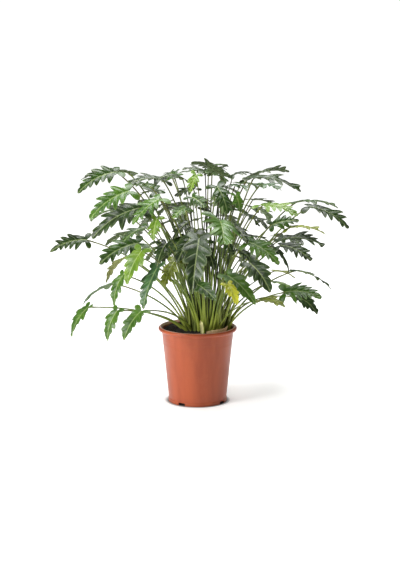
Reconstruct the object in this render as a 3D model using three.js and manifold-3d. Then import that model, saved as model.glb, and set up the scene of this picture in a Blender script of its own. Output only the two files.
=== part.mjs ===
// Potted lobed-leaf philodendron in a round plastic nursery pot.
// Millimetres, +Z up. The origin is the middle of the pot's foot, on the ground;
// -Y is the front, the side that the plant is usually seen from.
import * as THREE from 'three';
import { mergeVertices } from 'three/addons/utils/BufferGeometryUtils.js';
import Module from 'manifold-3d';

const wasm = await Module();
wasm.setup();

// ---- driving dimensions ---------------------------------------------------
const FOLIAGE_SPREAD = 800; // widest, left leaf tip to right leaf tip
const FOLIAGE_HEIGHT = 465; // soil to the highest leaf
const BROADEST_BLADE = 100;

const POT_HEIGHT = 207;
const POT_RIM_DIAMETER = 214;
const POT_TOP_DIAMETER = 196; // wall just under the rim
const POT_FOOT_DIAMETER = 160;
const POT_WALL = 2;
const RIM_DEPTH = 12;
const FOOT_HEIGHT = 9.5;
const FOOT_PROUD = 1.2;
const FLOOR_RAISE = 7; // the floor's underside stands this far off the ground
const NOTCH_WIDTH = 21;
const NOTCH_HEIGHT = 7.5;
const NOTCH_COUNT = 4;
const NOTCH_FIRST_DEG = -33;
const DRAIN_HOLE_DIAMETER = 12;
const DRAIN_HOLE_COUNT = 8;
const DRAIN_RING = 0.72; // where the holes stand, as a share of the foot's radius

const SOIL_BELOW_RIM = 12;
const STALK_FOOT_DIAMETER = 9;
const STALK_TOP_DIAMETER = 4;
const MIDRIB_THICKNESS = 3.2; // where the blade joins its stalk
const BLADE_TIP_THICKNESS = 1;
const CROWN_DIAMETER = 9;
const CROWN_HEIGHT = 26;
const GAP = 0.3; // between pieces that touch
const LEAF_ROOM = 4.5; // free room that a blade keeps around itself
const STALK_ROOM = 1.3;

// ---- what follows from them -----------------------------------------------
const SOIL_TOP = POT_HEIGHT - SOIL_BELOW_RIM;
const FLOOR_TOP = FLOOR_RAISE + POT_WALL;
const STALK_FOOT_Z = SOIL_TOP + GAP;
const FULL_TURN = 2 * Math.PI;
const ROUND_STEPS = 48;
const UP = new THREE.Vector3(0, 0, 1);

// ---- solids ---------------------------------------------------------------

// Six times the volume inside a triangle mesh, positive when its faces point out.
function signedVolume(vertices, triangles) {
  const [a, b, c] = [new THREE.Vector3(), new THREE.Vector3(), new THREE.Vector3()];
  let total = 0;
  for (let i = 0; i < triangles.length; i += 3) {
    a.fromArray(vertices, 3 * triangles[i]);
    b.fromArray(vertices, 3 * triangles[i + 1]);
    c.fromArray(vertices, 3 * triangles[i + 2]);
    total += a.dot(b.cross(c));
  }
  return total;
}

// A manifold solid from a three.js geometry, turned the right way out.
function solidFrom(geometry) {
  const bare = geometry.clone();
  bare.deleteAttribute('normal');
  bare.deleteAttribute('uv');
  const merged = mergeVertices(bare, 1e-4);
  const vertProperties = new Float32Array(merged.attributes.position.array);
  const corners = Array.from(merged.index.array);
  const kept = [];
  for (let i = 0; i < corners.length; i += 3) {
    const [a, b, c] = corners.slice(i, i + 3);
    if (a !== b && b !== c && c !== a) {
      kept.push(a, b, c);
    }
  }
  if (signedVolume(vertProperties, kept) < 0) {
    kept.reverse();
  }
  return new wasm.Manifold(new wasm.Mesh({ numProp: 3, vertProperties, triVerts: new Uint32Array(kept) }));
}

function geometryFrom(solid) {
  const mesh = solid.getMesh();
  const geometry = new THREE.BufferGeometry();
  geometry.setAttribute('position', new THREE.BufferAttribute(mesh.vertProperties, 3));
  geometry.setIndex(new THREE.BufferAttribute(mesh.triVerts, 1));
  geometry.computeVertexNormals();
  return geometry;
}

// A round solid from a profile of [radius, height] pairs that starts and ends on the axis.
function turned(profile, steps = ROUND_STEPS) {
  const points = profile.map(([radius, height]) => new THREE.Vector2(radius, height));
  const geometry = new THREE.LatheGeometry(points, steps);
  geometry.rotateX(Math.PI / 2);
  return solidFrom(geometry);
}

function named(name, geometry, color, roughness) {
  const mesh = new THREE.Mesh(geometry, new THREE.MeshStandardMaterial({ color, roughness, metalness: 0 }));
  mesh.name = name;
  return mesh;
}

// ---- pot and soil ---------------------------------------------------------

const FOOT_RADIUS = POT_FOOT_DIAMETER / 2;
const TOP_RADIUS = POT_TOP_DIAMETER / 2;
const RIM_RADIUS = POT_RIM_DIAMETER / 2;
const RIM_BOTTOM = POT_HEIGHT - RIM_DEPTH;

// The inside of the wall at a height above the ground.
function innerRadius(height) {
  const share = (height - FOOT_HEIGHT) / (RIM_BOTTOM - FOOT_HEIGHT);
  return FOOT_RADIUS - FOOT_PROUD + (TOP_RADIUS - FOOT_RADIUS + FOOT_PROUD) * share - POT_WALL;
}

function makePot() {
  const lip = RIM_RADIUS - TOP_RADIUS;
  const footWall = 2 * POT_WALL;
  let pot = turned([
    [0, FLOOR_RAISE],
    [FOOT_RADIUS - footWall, FLOOR_RAISE],
    [FOOT_RADIUS - footWall, 0],
    [FOOT_RADIUS, 0],
    [FOOT_RADIUS, FOOT_HEIGHT],
    [FOOT_RADIUS - FOOT_PROUD, FOOT_HEIGHT + FOOT_PROUD],
    [TOP_RADIUS, RIM_BOTTOM],
    [TOP_RADIUS + 0.45 * lip, RIM_BOTTOM + 0.05 * RIM_DEPTH],
    [TOP_RADIUS + 0.85 * lip, RIM_BOTTOM + 0.15 * RIM_DEPTH],
    [RIM_RADIUS, RIM_BOTTOM + 0.4 * RIM_DEPTH],
    [RIM_RADIUS, RIM_BOTTOM + 0.65 * RIM_DEPTH],
    [TOP_RADIUS + 0.85 * lip, POT_HEIGHT - 0.1 * RIM_DEPTH],
    [TOP_RADIUS + 0.6 * lip, POT_HEIGHT],
    [TOP_RADIUS + 0.35 * lip, POT_HEIGHT - 0.1 * RIM_DEPTH],
    [innerRadius(RIM_BOTTOM) + 0.15 * lip, RIM_BOTTOM + 0.5 * RIM_DEPTH],
    [innerRadius(RIM_BOTTOM), RIM_BOTTOM],
    [innerRadius(FLOOR_TOP), FLOOR_TOP],
    [0, FLOOR_TOP],
  ]);
  for (let i = 0; i < NOTCH_COUNT; i++) {
    const notch = new THREE.BoxGeometry(4 * footWall, NOTCH_WIDTH, 2 * NOTCH_HEIGHT);
    notch.translate(FOOT_RADIUS, 0, 0);
    notch.rotateZ(THREE.MathUtils.degToRad(NOTCH_FIRST_DEG) + (i * FULL_TURN) / NOTCH_COUNT);
    pot = pot.subtract(solidFrom(notch));
  }
  for (let i = 0; i < DRAIN_HOLE_COUNT; i++) {
    const radius = DRAIN_HOLE_DIAMETER / 2;
    const hole = new THREE.CylinderGeometry(radius, radius, 4 * POT_WALL, 16);
    hole.rotateX(Math.PI / 2);
    hole.translate(DRAIN_RING * FOOT_RADIUS, 0, FLOOR_RAISE + POT_WALL / 2);
    hole.rotateZ(((i + 0.5) * FULL_TURN) / DRAIN_HOLE_COUNT);
    pot = pot.subtract(solidFrom(hole));
  }
  return named('pot', geometryFrom(pot), 0xb85f43, 0.42);
}

function makeSoil() {
  const bottom = FLOOR_TOP + GAP;
  const solid = turned([
    [0, bottom],
    [innerRadius(bottom) - 2 * GAP, bottom],
    [innerRadius(SOIL_TOP) - 2 * GAP, SOIL_TOP],
    [0, SOIL_TOP],
  ]);
  return named('soil', geometryFrom(solid), 0x1d1815, 0.95);
}

// ---- crowns: the plantlets that share the pot, and the places of their stalks -------------

const INNER_RING = (CROWN_DIAMETER + STALK_FOOT_DIAMETER) / 2 + STALK_ROOM;
const OUTER_RING = INNER_RING + STALK_FOOT_DIAMETER + GAP;
const STALK_RINGS = [{ count: 5, radius: INNER_RING }, { count: 9, radius: OUTER_RING }];
const CROWN_SPACING = 2 * OUTER_RING + STALK_FOOT_DIAMETER + 2 * STALK_ROOM; // between neighbours
const CROWN_PLACES = [[-0.92, -0.08], [0.04, -0.48], [0.88, 0.04], [0, 0.52]];
const CLUMP_REACH = 0.9; // from the clump's middle to its outer crowns, in crown spacings
const CLUMP_HALF_WIDTH = CLUMP_REACH * CROWN_SPACING + OUTER_RING + STALK_FOOT_DIAMETER / 2;
const CLUMP_TO_RIGHT = 0.85; // of the free soil beside the clump
const CROWN_CENTRE = new THREE.Vector2(CLUMP_TO_RIGHT * (innerRadius(SOIL_TOP) - CLUMP_HALF_WIDTH), 10);

const crownCentres = CROWN_PLACES.map(([x, y]) =>
  new THREE.Vector2(x, y).multiplyScalar(CROWN_SPACING).add(CROWN_CENTRE));

function makeCrown(index) {
  const r = CROWN_DIAMETER / 2;
  const solid = turned([
    [0, 0],
    [r, 0],
    [0.8 * r, 0.6 * CROWN_HEIGHT],
    [0.25 * r, CROWN_HEIGHT],
    [0, CROWN_HEIGHT],
  ], 12);
  const geometry = geometryFrom(solid);
  const crown = named(`crown_${index + 1}`, geometry, 0x7d8a3c, 0.5);
  crown.position.set(crownCentres[index].x, crownCentres[index].y, STALK_FOOT_Z);
  return crown;
}

// Every place around the crowns where a stalk can stand.
function stalkSlots() {
  const slots = [];
  for (const centre of crownCentres) {
    for (const { count, radius } of STALK_RINGS) {
      for (let i = 0; i < count; i++) {
        const turn = ((i + 0.5) * FULL_TURN) / count;
        slots.push(new THREE.Vector2(Math.cos(turn), Math.sin(turn)).multiplyScalar(radius).add(centre));
      }
    }
  }
  return slots;
}

// ---- leaves ---------------------------------------------------------------

// Each leaf: where its blade joins its stalk and where its tip hangs, both as [right, back, above
// the soil], the blade's breadth, and how far it is rolled about its midrib in degrees. They are
// drawn for a plant of the size below and scale with the driving dimensions.
const DRAWN = { spread: 800, height: 465, breadth: 85 };

const LEAVES = [
  // left, from the top down
  { joint: [-187, 60, 424], tip: [-316, 20, 408], breadth: 70, roll: -10 },
  { joint: [-211, -70, 435], tip: [-314, -110, 387], breadth: 50, roll: -45 },
  { joint: [-92, -40, 416], tip: [-185, -80, 407], breadth: 60, roll: -15 },
  { joint: [-177, -150, 400], tip: [-277, -190, 330], breadth: 60, roll: -25 },
  { joint: [-98, -200, 385], tip: [-165, -240, 324], breadth: 55, roll: 10 },
  { joint: [-115, 120, 362], tip: [-154, 200, 374], breadth: 45, roll: 0 },
  { joint: [-152, -60, 348], tip: [-279, -90, 264], breadth: 80, roll: -25 },
  { joint: [-174, 80, 256], tip: [-254, 100, 217], breadth: 50, roll: 20 },
  { joint: [-152, -130, 261], tip: [-255, -180, 212], breadth: 60, roll: -25 },
  { joint: [-143, -230, 256], tip: [-179, -260, 173], breadth: 52, roll: 0 },
  { joint: [-303, 20, 246], tip: [-400, 0, 214], breadth: 45, roll: -50 },
  { joint: [-103, -250, 215], tip: [-137, -290, 115], breadth: 55, roll: 25 },
  { joint: [-202, 120, 180], tip: [-257, 130, 105], breadth: 45, roll: 0 },
  { joint: [-198, -60, 164], tip: [-221, -80, 79], breadth: 40, roll: -20 },
  { joint: [-227, 60, 117], tip: [-319, 60, 56], breadth: 45, roll: 10 },
  { joint: [-147, -200, 93], tip: [-190, -240, 24], breadth: 50, roll: 0 },
  { joint: [-212, -120, 79], tip: [-237, -140, -1], breadth: 42, roll: -20 },
  { joint: [-296, -20, 68], tip: [-340, -40, -12], breadth: 45, roll: -20 },
  // middle
  { joint: [65, -30, 422], tip: [-52, -60, 436], breadth: 45, roll: 15 },
  { joint: [70, 40, 418], tip: [-19, 40, 452], breadth: 60, roll: 20 },
  { joint: [51, -110, 406], tip: [78, -150, 339], breadth: 50, roll: 0 },
  { joint: [57, -200, 330], tip: [66, -290, 283], breadth: 85, roll: 0 },
  { joint: [-9, -140, 290], tip: [-53, -190, 217], breadth: 50, roll: 0 },
  { joint: [4, -240, 290], tip: [-14, -330, 161], breadth: 62, roll: 0 },
  { joint: [77, -200, 188], tip: [149, -250, 118], breadth: 50, roll: 10 },
  // right, from the top down
  { joint: [138, 90, 406], tip: [254, 110, 420], breadth: 60, roll: 0 },
  { joint: [149, -20, 419], tip: [274, -50, 384], breadth: 75, roll: 10 },
  { joint: [162, -120, 412], tip: [206, -170, 407], breadth: 60, roll: 0 },
  { joint: [167, -190, 369], tip: [255, -240, 347], breadth: 55, roll: 0 },
  { joint: [268, 60, 343], tip: [384, 50, 327], breadth: 55, roll: 5 },
  { joint: [298, -40, 345], tip: [400, -70, 288], breadth: 60, roll: 15 },
  { joint: [140, -100, 327], tip: [176, -160, 302], breadth: 48, roll: 0 },
  { joint: [240, -120, 300], tip: [334, -150, 286], breadth: 45, roll: 0 },
  { joint: [134, -170, 269], tip: [209, -220, 217], breadth: 50, roll: 15 },
  { joint: [231, 30, 247], tip: [342, 10, 229], breadth: 70, roll: 25 },
  { joint: [220, -80, 247], tip: [299, -120, 211], breadth: 50, roll: 30 },
  { joint: [134, -230, 225], tip: [185, -270, 154], breadth: 50, roll: 25 },
  { joint: [268, 40, 158], tip: [367, 30, 105], breadth: 50, roll: 0 },
  { joint: [235, -60, 117], tip: [330, -90, 105], breadth: 60, roll: 40 },
  { joint: [277, 60, 78], tip: [331, 60, 30], breadth: 45, roll: 40 },
  // back, from left to right
  { joint: [-210, 110, 315], tip: [-300, 170, 273], breadth: 60, roll: 0 },
  { joint: [-150, 210, 161], tip: [-205, 290, 88], breadth: 50, roll: 0 },
  { joint: [-120, 190, 282], tip: [-170, 300, 213], breadth: 60, roll: 0 },
  { joint: [-70, 150, 399], tip: [-95, 240, 375], breadth: 55, roll: 0 },
  { joint: [-40, 210, 311], tip: [-50, 330, 236], breadth: 65, roll: 0 },
  { joint: [10, 240, 180], tip: [15, 330, 96], breadth: 55, roll: 0 },
  { joint: [40, 120, 425], tip: [60, 215, 406], breadth: 60, roll: 0 },
  { joint: [60, 200, 332], tip: [75, 310, 267], breadth: 60, roll: 0 },
  { joint: [130, 220, 171], tip: [175, 310, 97], breadth: 50, roll: 0 },
  { joint: [150, 180, 313], tip: [205, 270, 259], breadth: 60, roll: 0 },
  { joint: [230, 140, 234], tip: [300, 210, 181], breadth: 55, roll: 0 },
  { joint: [210, 180, 103], tip: [275, 240, 40], breadth: 45, roll: 0 },
];

const KNEE_OUT = 0.32; // where a stalk's bend lies: shares of its run sideways, upwards
const KNEE_UP = 0.6;
const KNEE_LIFT = 0.1; // and of its whole length, further up
const BLADE_ARCH = 0.2; // how high a blade's back stands over the line from joint to tip
const FOLD = THREE.MathUtils.degToRad(20); // the two halves of a blade rise from the midrib by this
const STALK_STEPS = 9;
const LOBES = 5; // on each side of a blade
const LOBE_DEPTH = 0.34;
const FIRST_LOBE = 0.14;
const LOBE_PITCH = 0.155;

function placed([right, back, above]) {
  const across = FOLIAGE_SPREAD / DRAWN.spread;
  return new THREE.Vector3(right * across, back * across, SOIL_TOP + (above * FOLIAGE_HEIGHT) / DRAWN.height);
}

// The way that a leaf's upper face looks: up, and away from the plant's middle near the edge.
function faceOut(joint) {
  const out = new THREE.Vector3(joint.x, joint.y, 0);
  const share = Math.min(1, out.length() / (0.25 * FOLIAGE_SPREAD));
  return UP.clone().addScaledVector(out.normalize(), share);
}

// The part of a vector that is square to a direction, as a unit vector.
function squareTo(vector, direction) {
  return vector.clone().addScaledVector(direction, -vector.dot(direction)).normalize();
}

// Gives every leaf a free stalk slot: the lower and the further out its blade, the nearer it
// stands to the clump's edge on that side. Then any two leaves swap where that suits them better.
function chooseSlots(leaves) {
  const slots = stalkSlots();
  for (const leaf of leaves) {
    const lean = new THREE.Vector2(leaf.joint.x, leaf.joint.y).sub(CROWN_CENTRE);
    const share = lean.length() / (lean.length() + leaf.joint.z - SOIL_TOP);
    leaf.wish = lean.setLength(share * CLUMP_HALF_WIDTH).add(CROWN_CENTRE);
    leaf.reach = share;
  }
  for (const leaf of [...leaves].sort((a, b) => b.reach - a.reach)) {
    slots.sort((a, b) => a.distanceTo(leaf.wish) - b.distanceTo(leaf.wish));
    leaf.slot = slots.shift();
  }
  const cost = (leaf, slot) => slot.distanceToSquared(leaf.wish);
  let swapped = true;
  while (swapped) {
    swapped = false;
    for (const [i, a] of leaves.entries()) {
      for (const b of leaves.slice(i + 1)) {
        if (cost(a, b.slot) + cost(b, a.slot) + GAP < cost(a, a.slot) + cost(b, b.slot)) {
          [a.slot, b.slot] = [b.slot, a.slot];
          swapped = true;
        }
      }
    }
  }
}

// Places every leaf's joint and tip, its foot, and the bends of its stalk and blade.
function plantLeaves() {
  const leaves = LEAVES.map(({ joint, tip, breadth, roll }, index) => ({
    name: `leaf_${String(index + 1).padStart(2, '0')}`,
    joint: placed(joint),
    tip: placed(tip),
    breadth: (breadth * BROADEST_BLADE) / DRAWN.breadth,
    roll: THREE.MathUtils.degToRad(roll),
  }));
  chooseSlots(leaves);
  for (const leaf of leaves) {
    leaf.foot = new THREE.Vector3(leaf.slot.x, leaf.slot.y, STALK_FOOT_Z);
    const run = leaf.joint.clone().sub(leaf.foot);
    leaf.knee = leaf.foot.clone().add(new THREE.Vector3(
      KNEE_OUT * run.x,
      KNEE_OUT * run.y,
      KNEE_UP * run.z + KNEE_LIFT * run.length(),
    ));
    const chord = leaf.tip.clone().sub(leaf.joint);
    leaf.arch = squareTo(faceOut(leaf.joint), chord.clone().normalize())
      .multiplyScalar(BLADE_ARCH * chord.length());
  }
  return leaves;
}

function curvesOf(leaf) {
  const crest = leaf.joint.clone().lerp(leaf.tip, 0.5).add(leaf.arch);
  return {
    stalk: new THREE.QuadraticBezierCurve3(leaf.foot, leaf.knee, leaf.joint),
    blade: new THREE.QuadraticBezierCurve3(leaf.joint, crest, leaf.tip),
  };
}

// The midrib's place and the blade's own axes at a share of its length.
function bladeFrame(leaf, blade, share) {
  const along = blade.getTangent(share);
  const face = squareTo(faceOut(leaf.joint), along).applyAxisAngle(along, leaf.roll);
  return { centre: blade.getPoint(share), along, face, side: along.clone().cross(face) };
}

// Half the blade's breadth at a share of its length, for a blade of half breadth 1.
function envelope(share) {
  return Math.min(1, 1.1 * (1 - share) ** 0.6);
}

// A blade's outline from joint to tip: share of the length, half breadth, and how far the edge
// is swept forward, as a share of the length. Lobes alternate with the bays between them.
function bladeOutline() {
  const outline = [
    { share: 0.015, half: 0.34, sweep: -0.08 },
    { share: 0.07, half: 0.62, sweep: -0.07 },
  ];
  for (let i = 0; i < LOBES; i++) {
    const bay = FIRST_LOBE + i * LOBE_PITCH;
    const lobe = bay + 0.35 * LOBE_PITCH;
    outline.push({ share: bay, half: envelope(bay) * (1 - LOBE_DEPTH), sweep: -0.01 });
    outline.push({ share: lobe, half: envelope(lobe), sweep: 0.04 });
  }
  return outline;
}

// A closed loft through rings of four points: left edge, top, right edge, underside.
function loft(rings, apex) {
  const points = [...rings.flat(), apex];
  const faces = [0, 1, 2, 0, 2, 3];
  for (let i = 0; i + 1 < rings.length; i++) {
    for (let j = 0; j < 4; j++) {
      const [a, b] = [4 * i + j, 4 * i + ((j + 1) % 4)];
      faces.push(a, a + 4, b, b, a + 4, b + 4);
    }
  }
  const last = 4 * (rings.length - 1);
  for (let j = 0; j < 4; j++) {
    faces.push(last + j, points.length - 1, last + ((j + 1) % 4));
  }
  const vertices = points.flatMap((point) => point.toArray());
  if (signedVolume(vertices, faces) < 0) {
    faces.reverse();
  }
  const geometry = new THREE.BufferGeometry();
  geometry.setAttribute('position', new THREE.Float32BufferAttribute(vertices, 3));
  geometry.setIndex(faces);
  geometry.computeVertexNormals();
  return geometry;
}

// The four points of one section, with its edges raised by the fold.
function section({ centre, side, face, along }, half, thickness, fold, sweep) {
  const point = (across, up, forward) => centre.clone()
    .addScaledVector(side, across)
    .addScaledVector(face, up)
    .addScaledVector(along, forward);
  const [flat, rise] = [half * Math.cos(fold), half * Math.sin(fold)];
  return [
    point(-flat, rise, sweep),
    point(0, thickness / 2, 0),
    point(flat, rise, sweep),
    point(0, -thickness / 2, 0),
  ];
}

function makeLeaf(leaf) {
  const { stalk, blade } = curvesOf(leaf);
  const length = blade.getLength();
  const start = bladeFrame(leaf, blade, 0);
  const rings = [];
  let side = start.side;
  for (let i = STALK_STEPS; i >= 0; i--) {
    const share = i / STALK_STEPS;
    const along = stalk.getTangent(share);
    if (i === STALK_STEPS) {
      along.add(start.along).normalize();
    }
    side = squareTo(side, along);
    const radius = THREE.MathUtils.lerp(STALK_FOOT_DIAMETER, STALK_TOP_DIAMETER, share) / 2;
    const frame = { centre: stalk.getPoint(share), along, side, face: side.clone().cross(along) };
    if (i === 0) {
      frame.along = UP.clone();
      frame.side = squareTo(side, UP);
      frame.face = frame.side.clone().cross(UP);
    }
    rings.unshift(section(frame, radius, 2 * radius, 0, 0));
  }
  for (const { share, half, sweep } of bladeOutline()) {
    const frame = bladeFrame(leaf, blade, share);
    const thickness = THREE.MathUtils.lerp(MIDRIB_THICKNESS, BLADE_TIP_THICKNESS, share);
    rings.push(section(frame, (half * leaf.breadth) / 2, thickness, FOLD, sweep * length));
  }
  return named(leaf.name, loft(rings, leaf.tip), 0x4f7a34, 0.38);
}

// ---- making room: crossing leaves move each other aside ---------------------

const ROOM_ROUNDS = 260;
const LEAST_WEIGHT = 0.4; // keeps a point that few balls pull at from jumping
const FIXED = -1; // the index of balls that belong to no leaf
const STALK_SAMPLES = 54;
const BLADE_SAMPLES = 12;
const ROOM_CELL = 2 * LEAF_ROOM + 2;

// Balls that cover a leaf. Each has the shares with which it moves the leaf's knee, joint and tip,
// and a blade's balls have the midrib's place and the blade's side.
function roomBalls(leaf, index) {
  const { stalk, blade } = curvesOf(leaf);
  const balls = [];
  for (let i = 1; i < STALK_SAMPLES; i++) {
    const t = i / STALK_SAMPLES;
    const radius = THREE.MathUtils.lerp(STALK_FOOT_DIAMETER, STALK_TOP_DIAMETER, t) / 2 + STALK_ROOM;
    balls.push({ index, centre: stalk.getPoint(t), radius, shares: [2 * t * (1 - t), t * t, 0] });
  }
  const columns = Math.ceil(leaf.breadth / (3.4 * LEAF_ROOM));
  for (let i = 0; i <= BLADE_SAMPLES; i++) {
    const u = i / BLADE_SAMPLES;
    const { centre: midrib, side, face } = bladeFrame(leaf, blade, u);
    const middle = u * (1 - u);
    const shares = [0, (1 - u) ** 2 + middle, u * u + middle];
    for (let j = -columns; j <= columns; j++) {
      const half = ((j / columns) * envelope(u) * leaf.breadth) / 2;
      const centre = midrib.clone()
        .addScaledVector(side, half * Math.cos(FOLD))
        .addScaledVector(face, Math.abs(half) * Math.sin(FOLD));
      balls.push({ index, centre, radius: LEAF_ROOM, shares, midrib, side });
    }
  }
  return balls;
}

// The way in which the first of two overlapping balls leaves the second. A stalk leaves a blade
// over the nearer edge, so that it never hangs in the middle of it.
function wayApart(ball, other) {
  if (!ball.side && other.side) {
    const across = Math.sign(ball.centre.clone().sub(other.midrib).dot(other.side)) || 1;
    return other.side.clone().multiplyScalar(across);
  }
  if (ball.side && !other.side) {
    return wayApart(other, ball).negate();
  }
  return ball.centre.clone().sub(other.centre).normalize();
}

const cellKey = (x, y, z) => `${x},${y},${z}`;
const cellOf = ({ x, y, z }) => [x, y, z].map((value) => Math.floor(value / ROOM_CELL));

// Calls meet(a, b, overlap) for each two balls of different leaves that overlap.
function forEachMeeting(balls, meet) {
  const cells = new Map();
  for (const ball of balls) {
    const [cx, cy, cz] = cellOf(ball.centre);
    for (let x = cx - 1; x <= cx + 1; x++) {
      for (let y = cy - 1; y <= cy + 1; y++) {
        for (let z = cz - 1; z <= cz + 1; z++) {
          for (const other of cells.get(cellKey(x, y, z)) ?? []) {
            const overlap = ball.radius + other.radius - ball.centre.distanceTo(other.centre);
            if (ball.index !== other.index && overlap > 0) {
              meet(ball, other, overlap);
            }
          }
        }
      }
    }
    const key = cellKey(cx, cy, cz);
    if (!cells.has(key)) {
      cells.set(key, []);
    }
    cells.get(key).push(ball);
  }
}

// Balls that leaves move clear of, but that stay where they are: the rim, crowns and sheaths.
function fixedBalls(sheaths) {
  const balls = sheaths.flatMap(({ path, breadth }) =>
    path.getPoints(24).map((centre) => ({ centre, radius: breadth / 2 + STALK_ROOM })));
  const bead = RIM_DEPTH / 2;
  const [inner, outer] = [innerRadius(RIM_BOTTOM) + bead, RIM_RADIUS - bead];
  const rows = Math.max(1, Math.ceil((outer - inner) / bead));
  for (let row = 0; row <= rows; row++) {
    const across = THREE.MathUtils.lerp(inner, outer, row / rows);
    for (let i = 0; i < 2 * ROUND_STEPS; i++) {
      const turn = (i * FULL_TURN) / (2 * ROUND_STEPS);
      const centre = new THREE.Vector3(across * Math.cos(turn), across * Math.sin(turn), POT_HEIGHT - bead);
      balls.push({ centre, radius: bead + STALK_ROOM });
    }
  }
  for (const { x, y } of crownCentres) {
    for (const share of [0.3, 0.6, 0.9]) {
      const centre = new THREE.Vector3(x, y, STALK_FOOT_Z + share * CROWN_HEIGHT);
      balls.push({ centre, radius: ((1.1 - share) * CROWN_DIAMETER) / 2 + STALK_ROOM });
    }
  }
  return balls.map((ball) => ({ ...ball, index: FIXED, shares: [] }));
}

// Moves knees, joints and tips apart, mostly forwards and backwards, until the leaves are clear.
function makeRoom(leaves, fixed) {
  const ease = new THREE.Vector3(0.5, 1, 0.5);
  for (let round = 0; round < ROOM_ROUNDS; round++) {
    const moves = leaves.map(() => [0, 1, 2].map(() => ({ sum: new THREE.Vector3(), weight: 0 })));
    let deepest = 0;
    const shift = (ball, push) => ball.shares.forEach((share, i) => {
      moves[ball.index][i].sum.addScaledVector(push, share);
      moves[ball.index][i].weight += share * share;
    });
    forEachMeeting([...fixed, ...leaves.flatMap(roomBalls)], (a, b, overlap) => {
      deepest = Math.max(deepest, overlap);
      const share = a.index === FIXED || b.index === FIXED ? 1 : 0.5;
      const push = wayApart(a, b).multiplyScalar(share * overlap).multiply(ease);
      shift(a, push);
      shift(b, push.negate());
    });
    if (deepest < STALK_ROOM) {
      break;
    }
    leaves.forEach((leaf, index) => [leaf.knee, leaf.joint, leaf.tip].forEach((point, i) => {
      const { sum, weight } = moves[index][i];
      if (weight > 0) {
        point.addScaledVector(sum, 1 / Math.max(LEAST_WEIGHT, weight));
      }
    }));
  }
  return leaves;
}

// ---- dried sheaths ----------------------------------------------------------

const LYING_BREADTH = 14;
const STANDING_BREADTH = 9;
const STANDING_HEIGHT = 38;
const SHEATH_THICKNESS = 1.2;

function makeSheath(name, { path, breadth }) {
  const outline = new THREE.Shape();
  outline.moveTo(-breadth / 2, -SHEATH_THICKNESS / 2);
  outline.lineTo(breadth / 2, -SHEATH_THICKNESS / 2);
  outline.lineTo(breadth / 2, SHEATH_THICKNESS / 2);
  outline.lineTo(-breadth / 2, SHEATH_THICKNESS / 2);
  outline.closePath();
  const geometry = new THREE.ExtrudeGeometry(outline, { steps: 10, extrudePath: path });
  return named(name, geometryFrom(solidFrom(geometry)), 0xc9a878, 0.7);
}

// A strip that lies on edge against the inside of the rim, at the front right, and curls up at its end.
function lyingSheath() {
  const radius = innerRadius(SOIL_TOP) - 3 * SHEATH_THICKNESS;
  const bends = [{ at: -75, up: 0 }, { at: -54, up: 0 }, { at: -33, up: 1 }, { at: -16, up: 7 }];
  const points = bends.map(({ at, up }) => {
    const turn = THREE.MathUtils.degToRad(at);
    const height = STALK_FOOT_Z + LYING_BREADTH / 2 + GAP + up;
    return new THREE.Vector3((radius - up) * Math.cos(turn), (radius - up) * Math.sin(turn), height);
  });
  return { path: new THREE.CatmullRomCurve3(points), breadth: LYING_BREADTH };
}

// A papery sheath that stands in front of the stalks.
function standingSheath() {
  const foot = new THREE.Vector3(12, -52, STALK_FOOT_Z + 1);
  const points = [0, 0.5, 1].map((share) =>
    foot.clone().add(new THREE.Vector3(-4 * share * share, -2 * share, STANDING_HEIGHT * share)));
  return { path: new THREE.CatmullRomCurve3(points), breadth: STANDING_BREADTH };
}

// ---- the plant ----------------------------------------------------------------

const plant = new THREE.Group();
plant.add(makePot(), makeSoil());
crownCentres.forEach((_, index) => plant.add(makeCrown(index)));
const sheaths = [lyingSheath(), standingSheath()];
sheaths.forEach((sheath, index) => plant.add(makeSheath(`sheath_${index + 1}`, sheath)));
for (const leaf of makeRoom(plantLeaves(), fixedBalls(sheaths))) {
  plant.add(makeLeaf(leaf));
}

export default plant;
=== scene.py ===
"""Looks of a lobed-leaf philodendron in a nursery pot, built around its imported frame.

The frame holds the pot, its soil, the crowns, two dried sheaths and every leaf as plain
solids.  Each class below reads its place from those solids and builds the finished piece
there.  Lengths are metres, +Z is up and -Y is the plant's front.
"""
from __future__ import annotations

import logging
import math
import random
from collections.abc import Callable, Sequence
from dataclasses import dataclass, field
from enum import Enum

import bmesh
import bpy
from mathutils import Matrix, Vector, noise


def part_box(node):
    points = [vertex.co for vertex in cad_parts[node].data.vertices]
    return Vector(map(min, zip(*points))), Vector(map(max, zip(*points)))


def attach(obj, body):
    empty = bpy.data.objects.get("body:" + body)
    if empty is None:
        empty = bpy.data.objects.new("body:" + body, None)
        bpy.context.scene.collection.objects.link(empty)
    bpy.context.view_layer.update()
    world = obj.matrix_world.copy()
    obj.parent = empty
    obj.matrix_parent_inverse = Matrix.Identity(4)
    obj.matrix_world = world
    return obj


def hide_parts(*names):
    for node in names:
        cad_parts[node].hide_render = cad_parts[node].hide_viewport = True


LOG = logging.getLogger("potted_philodendron")
MM = 0.001
UP = Vector((0.0, 0.0, 1.0))
ROOT = "root"
Triple = tuple[float, float, float]
Color = Triple


# ---- small helpers ------------------------------------------------------------------


def color(code: str) -> Color:
    """Linear colour of a six-figure hexadecimal code such as "4f7a34"."""
    shares = (int(code[i:i + 2], 16) / 255 for i in (0, 2, 4))
    red, green, blue = ((s / 12.92) if s <= 0.04045 else ((s + 0.055) / 1.055) ** 2.4 for s in shares)
    return red, green, blue


def lerp(start: float, end: float, share: float) -> float:
    """Number that lies a share of the way from start to end."""
    return start + (end - start) * share


def smoothstep(low: float, high: float, value: float) -> float:
    """Share from 0 below low to 1 above high, with soft ends."""
    share = min(1.0, max(0.0, (value - low) / (high - low)))
    return share * share * (3 - 2 * share)


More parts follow.
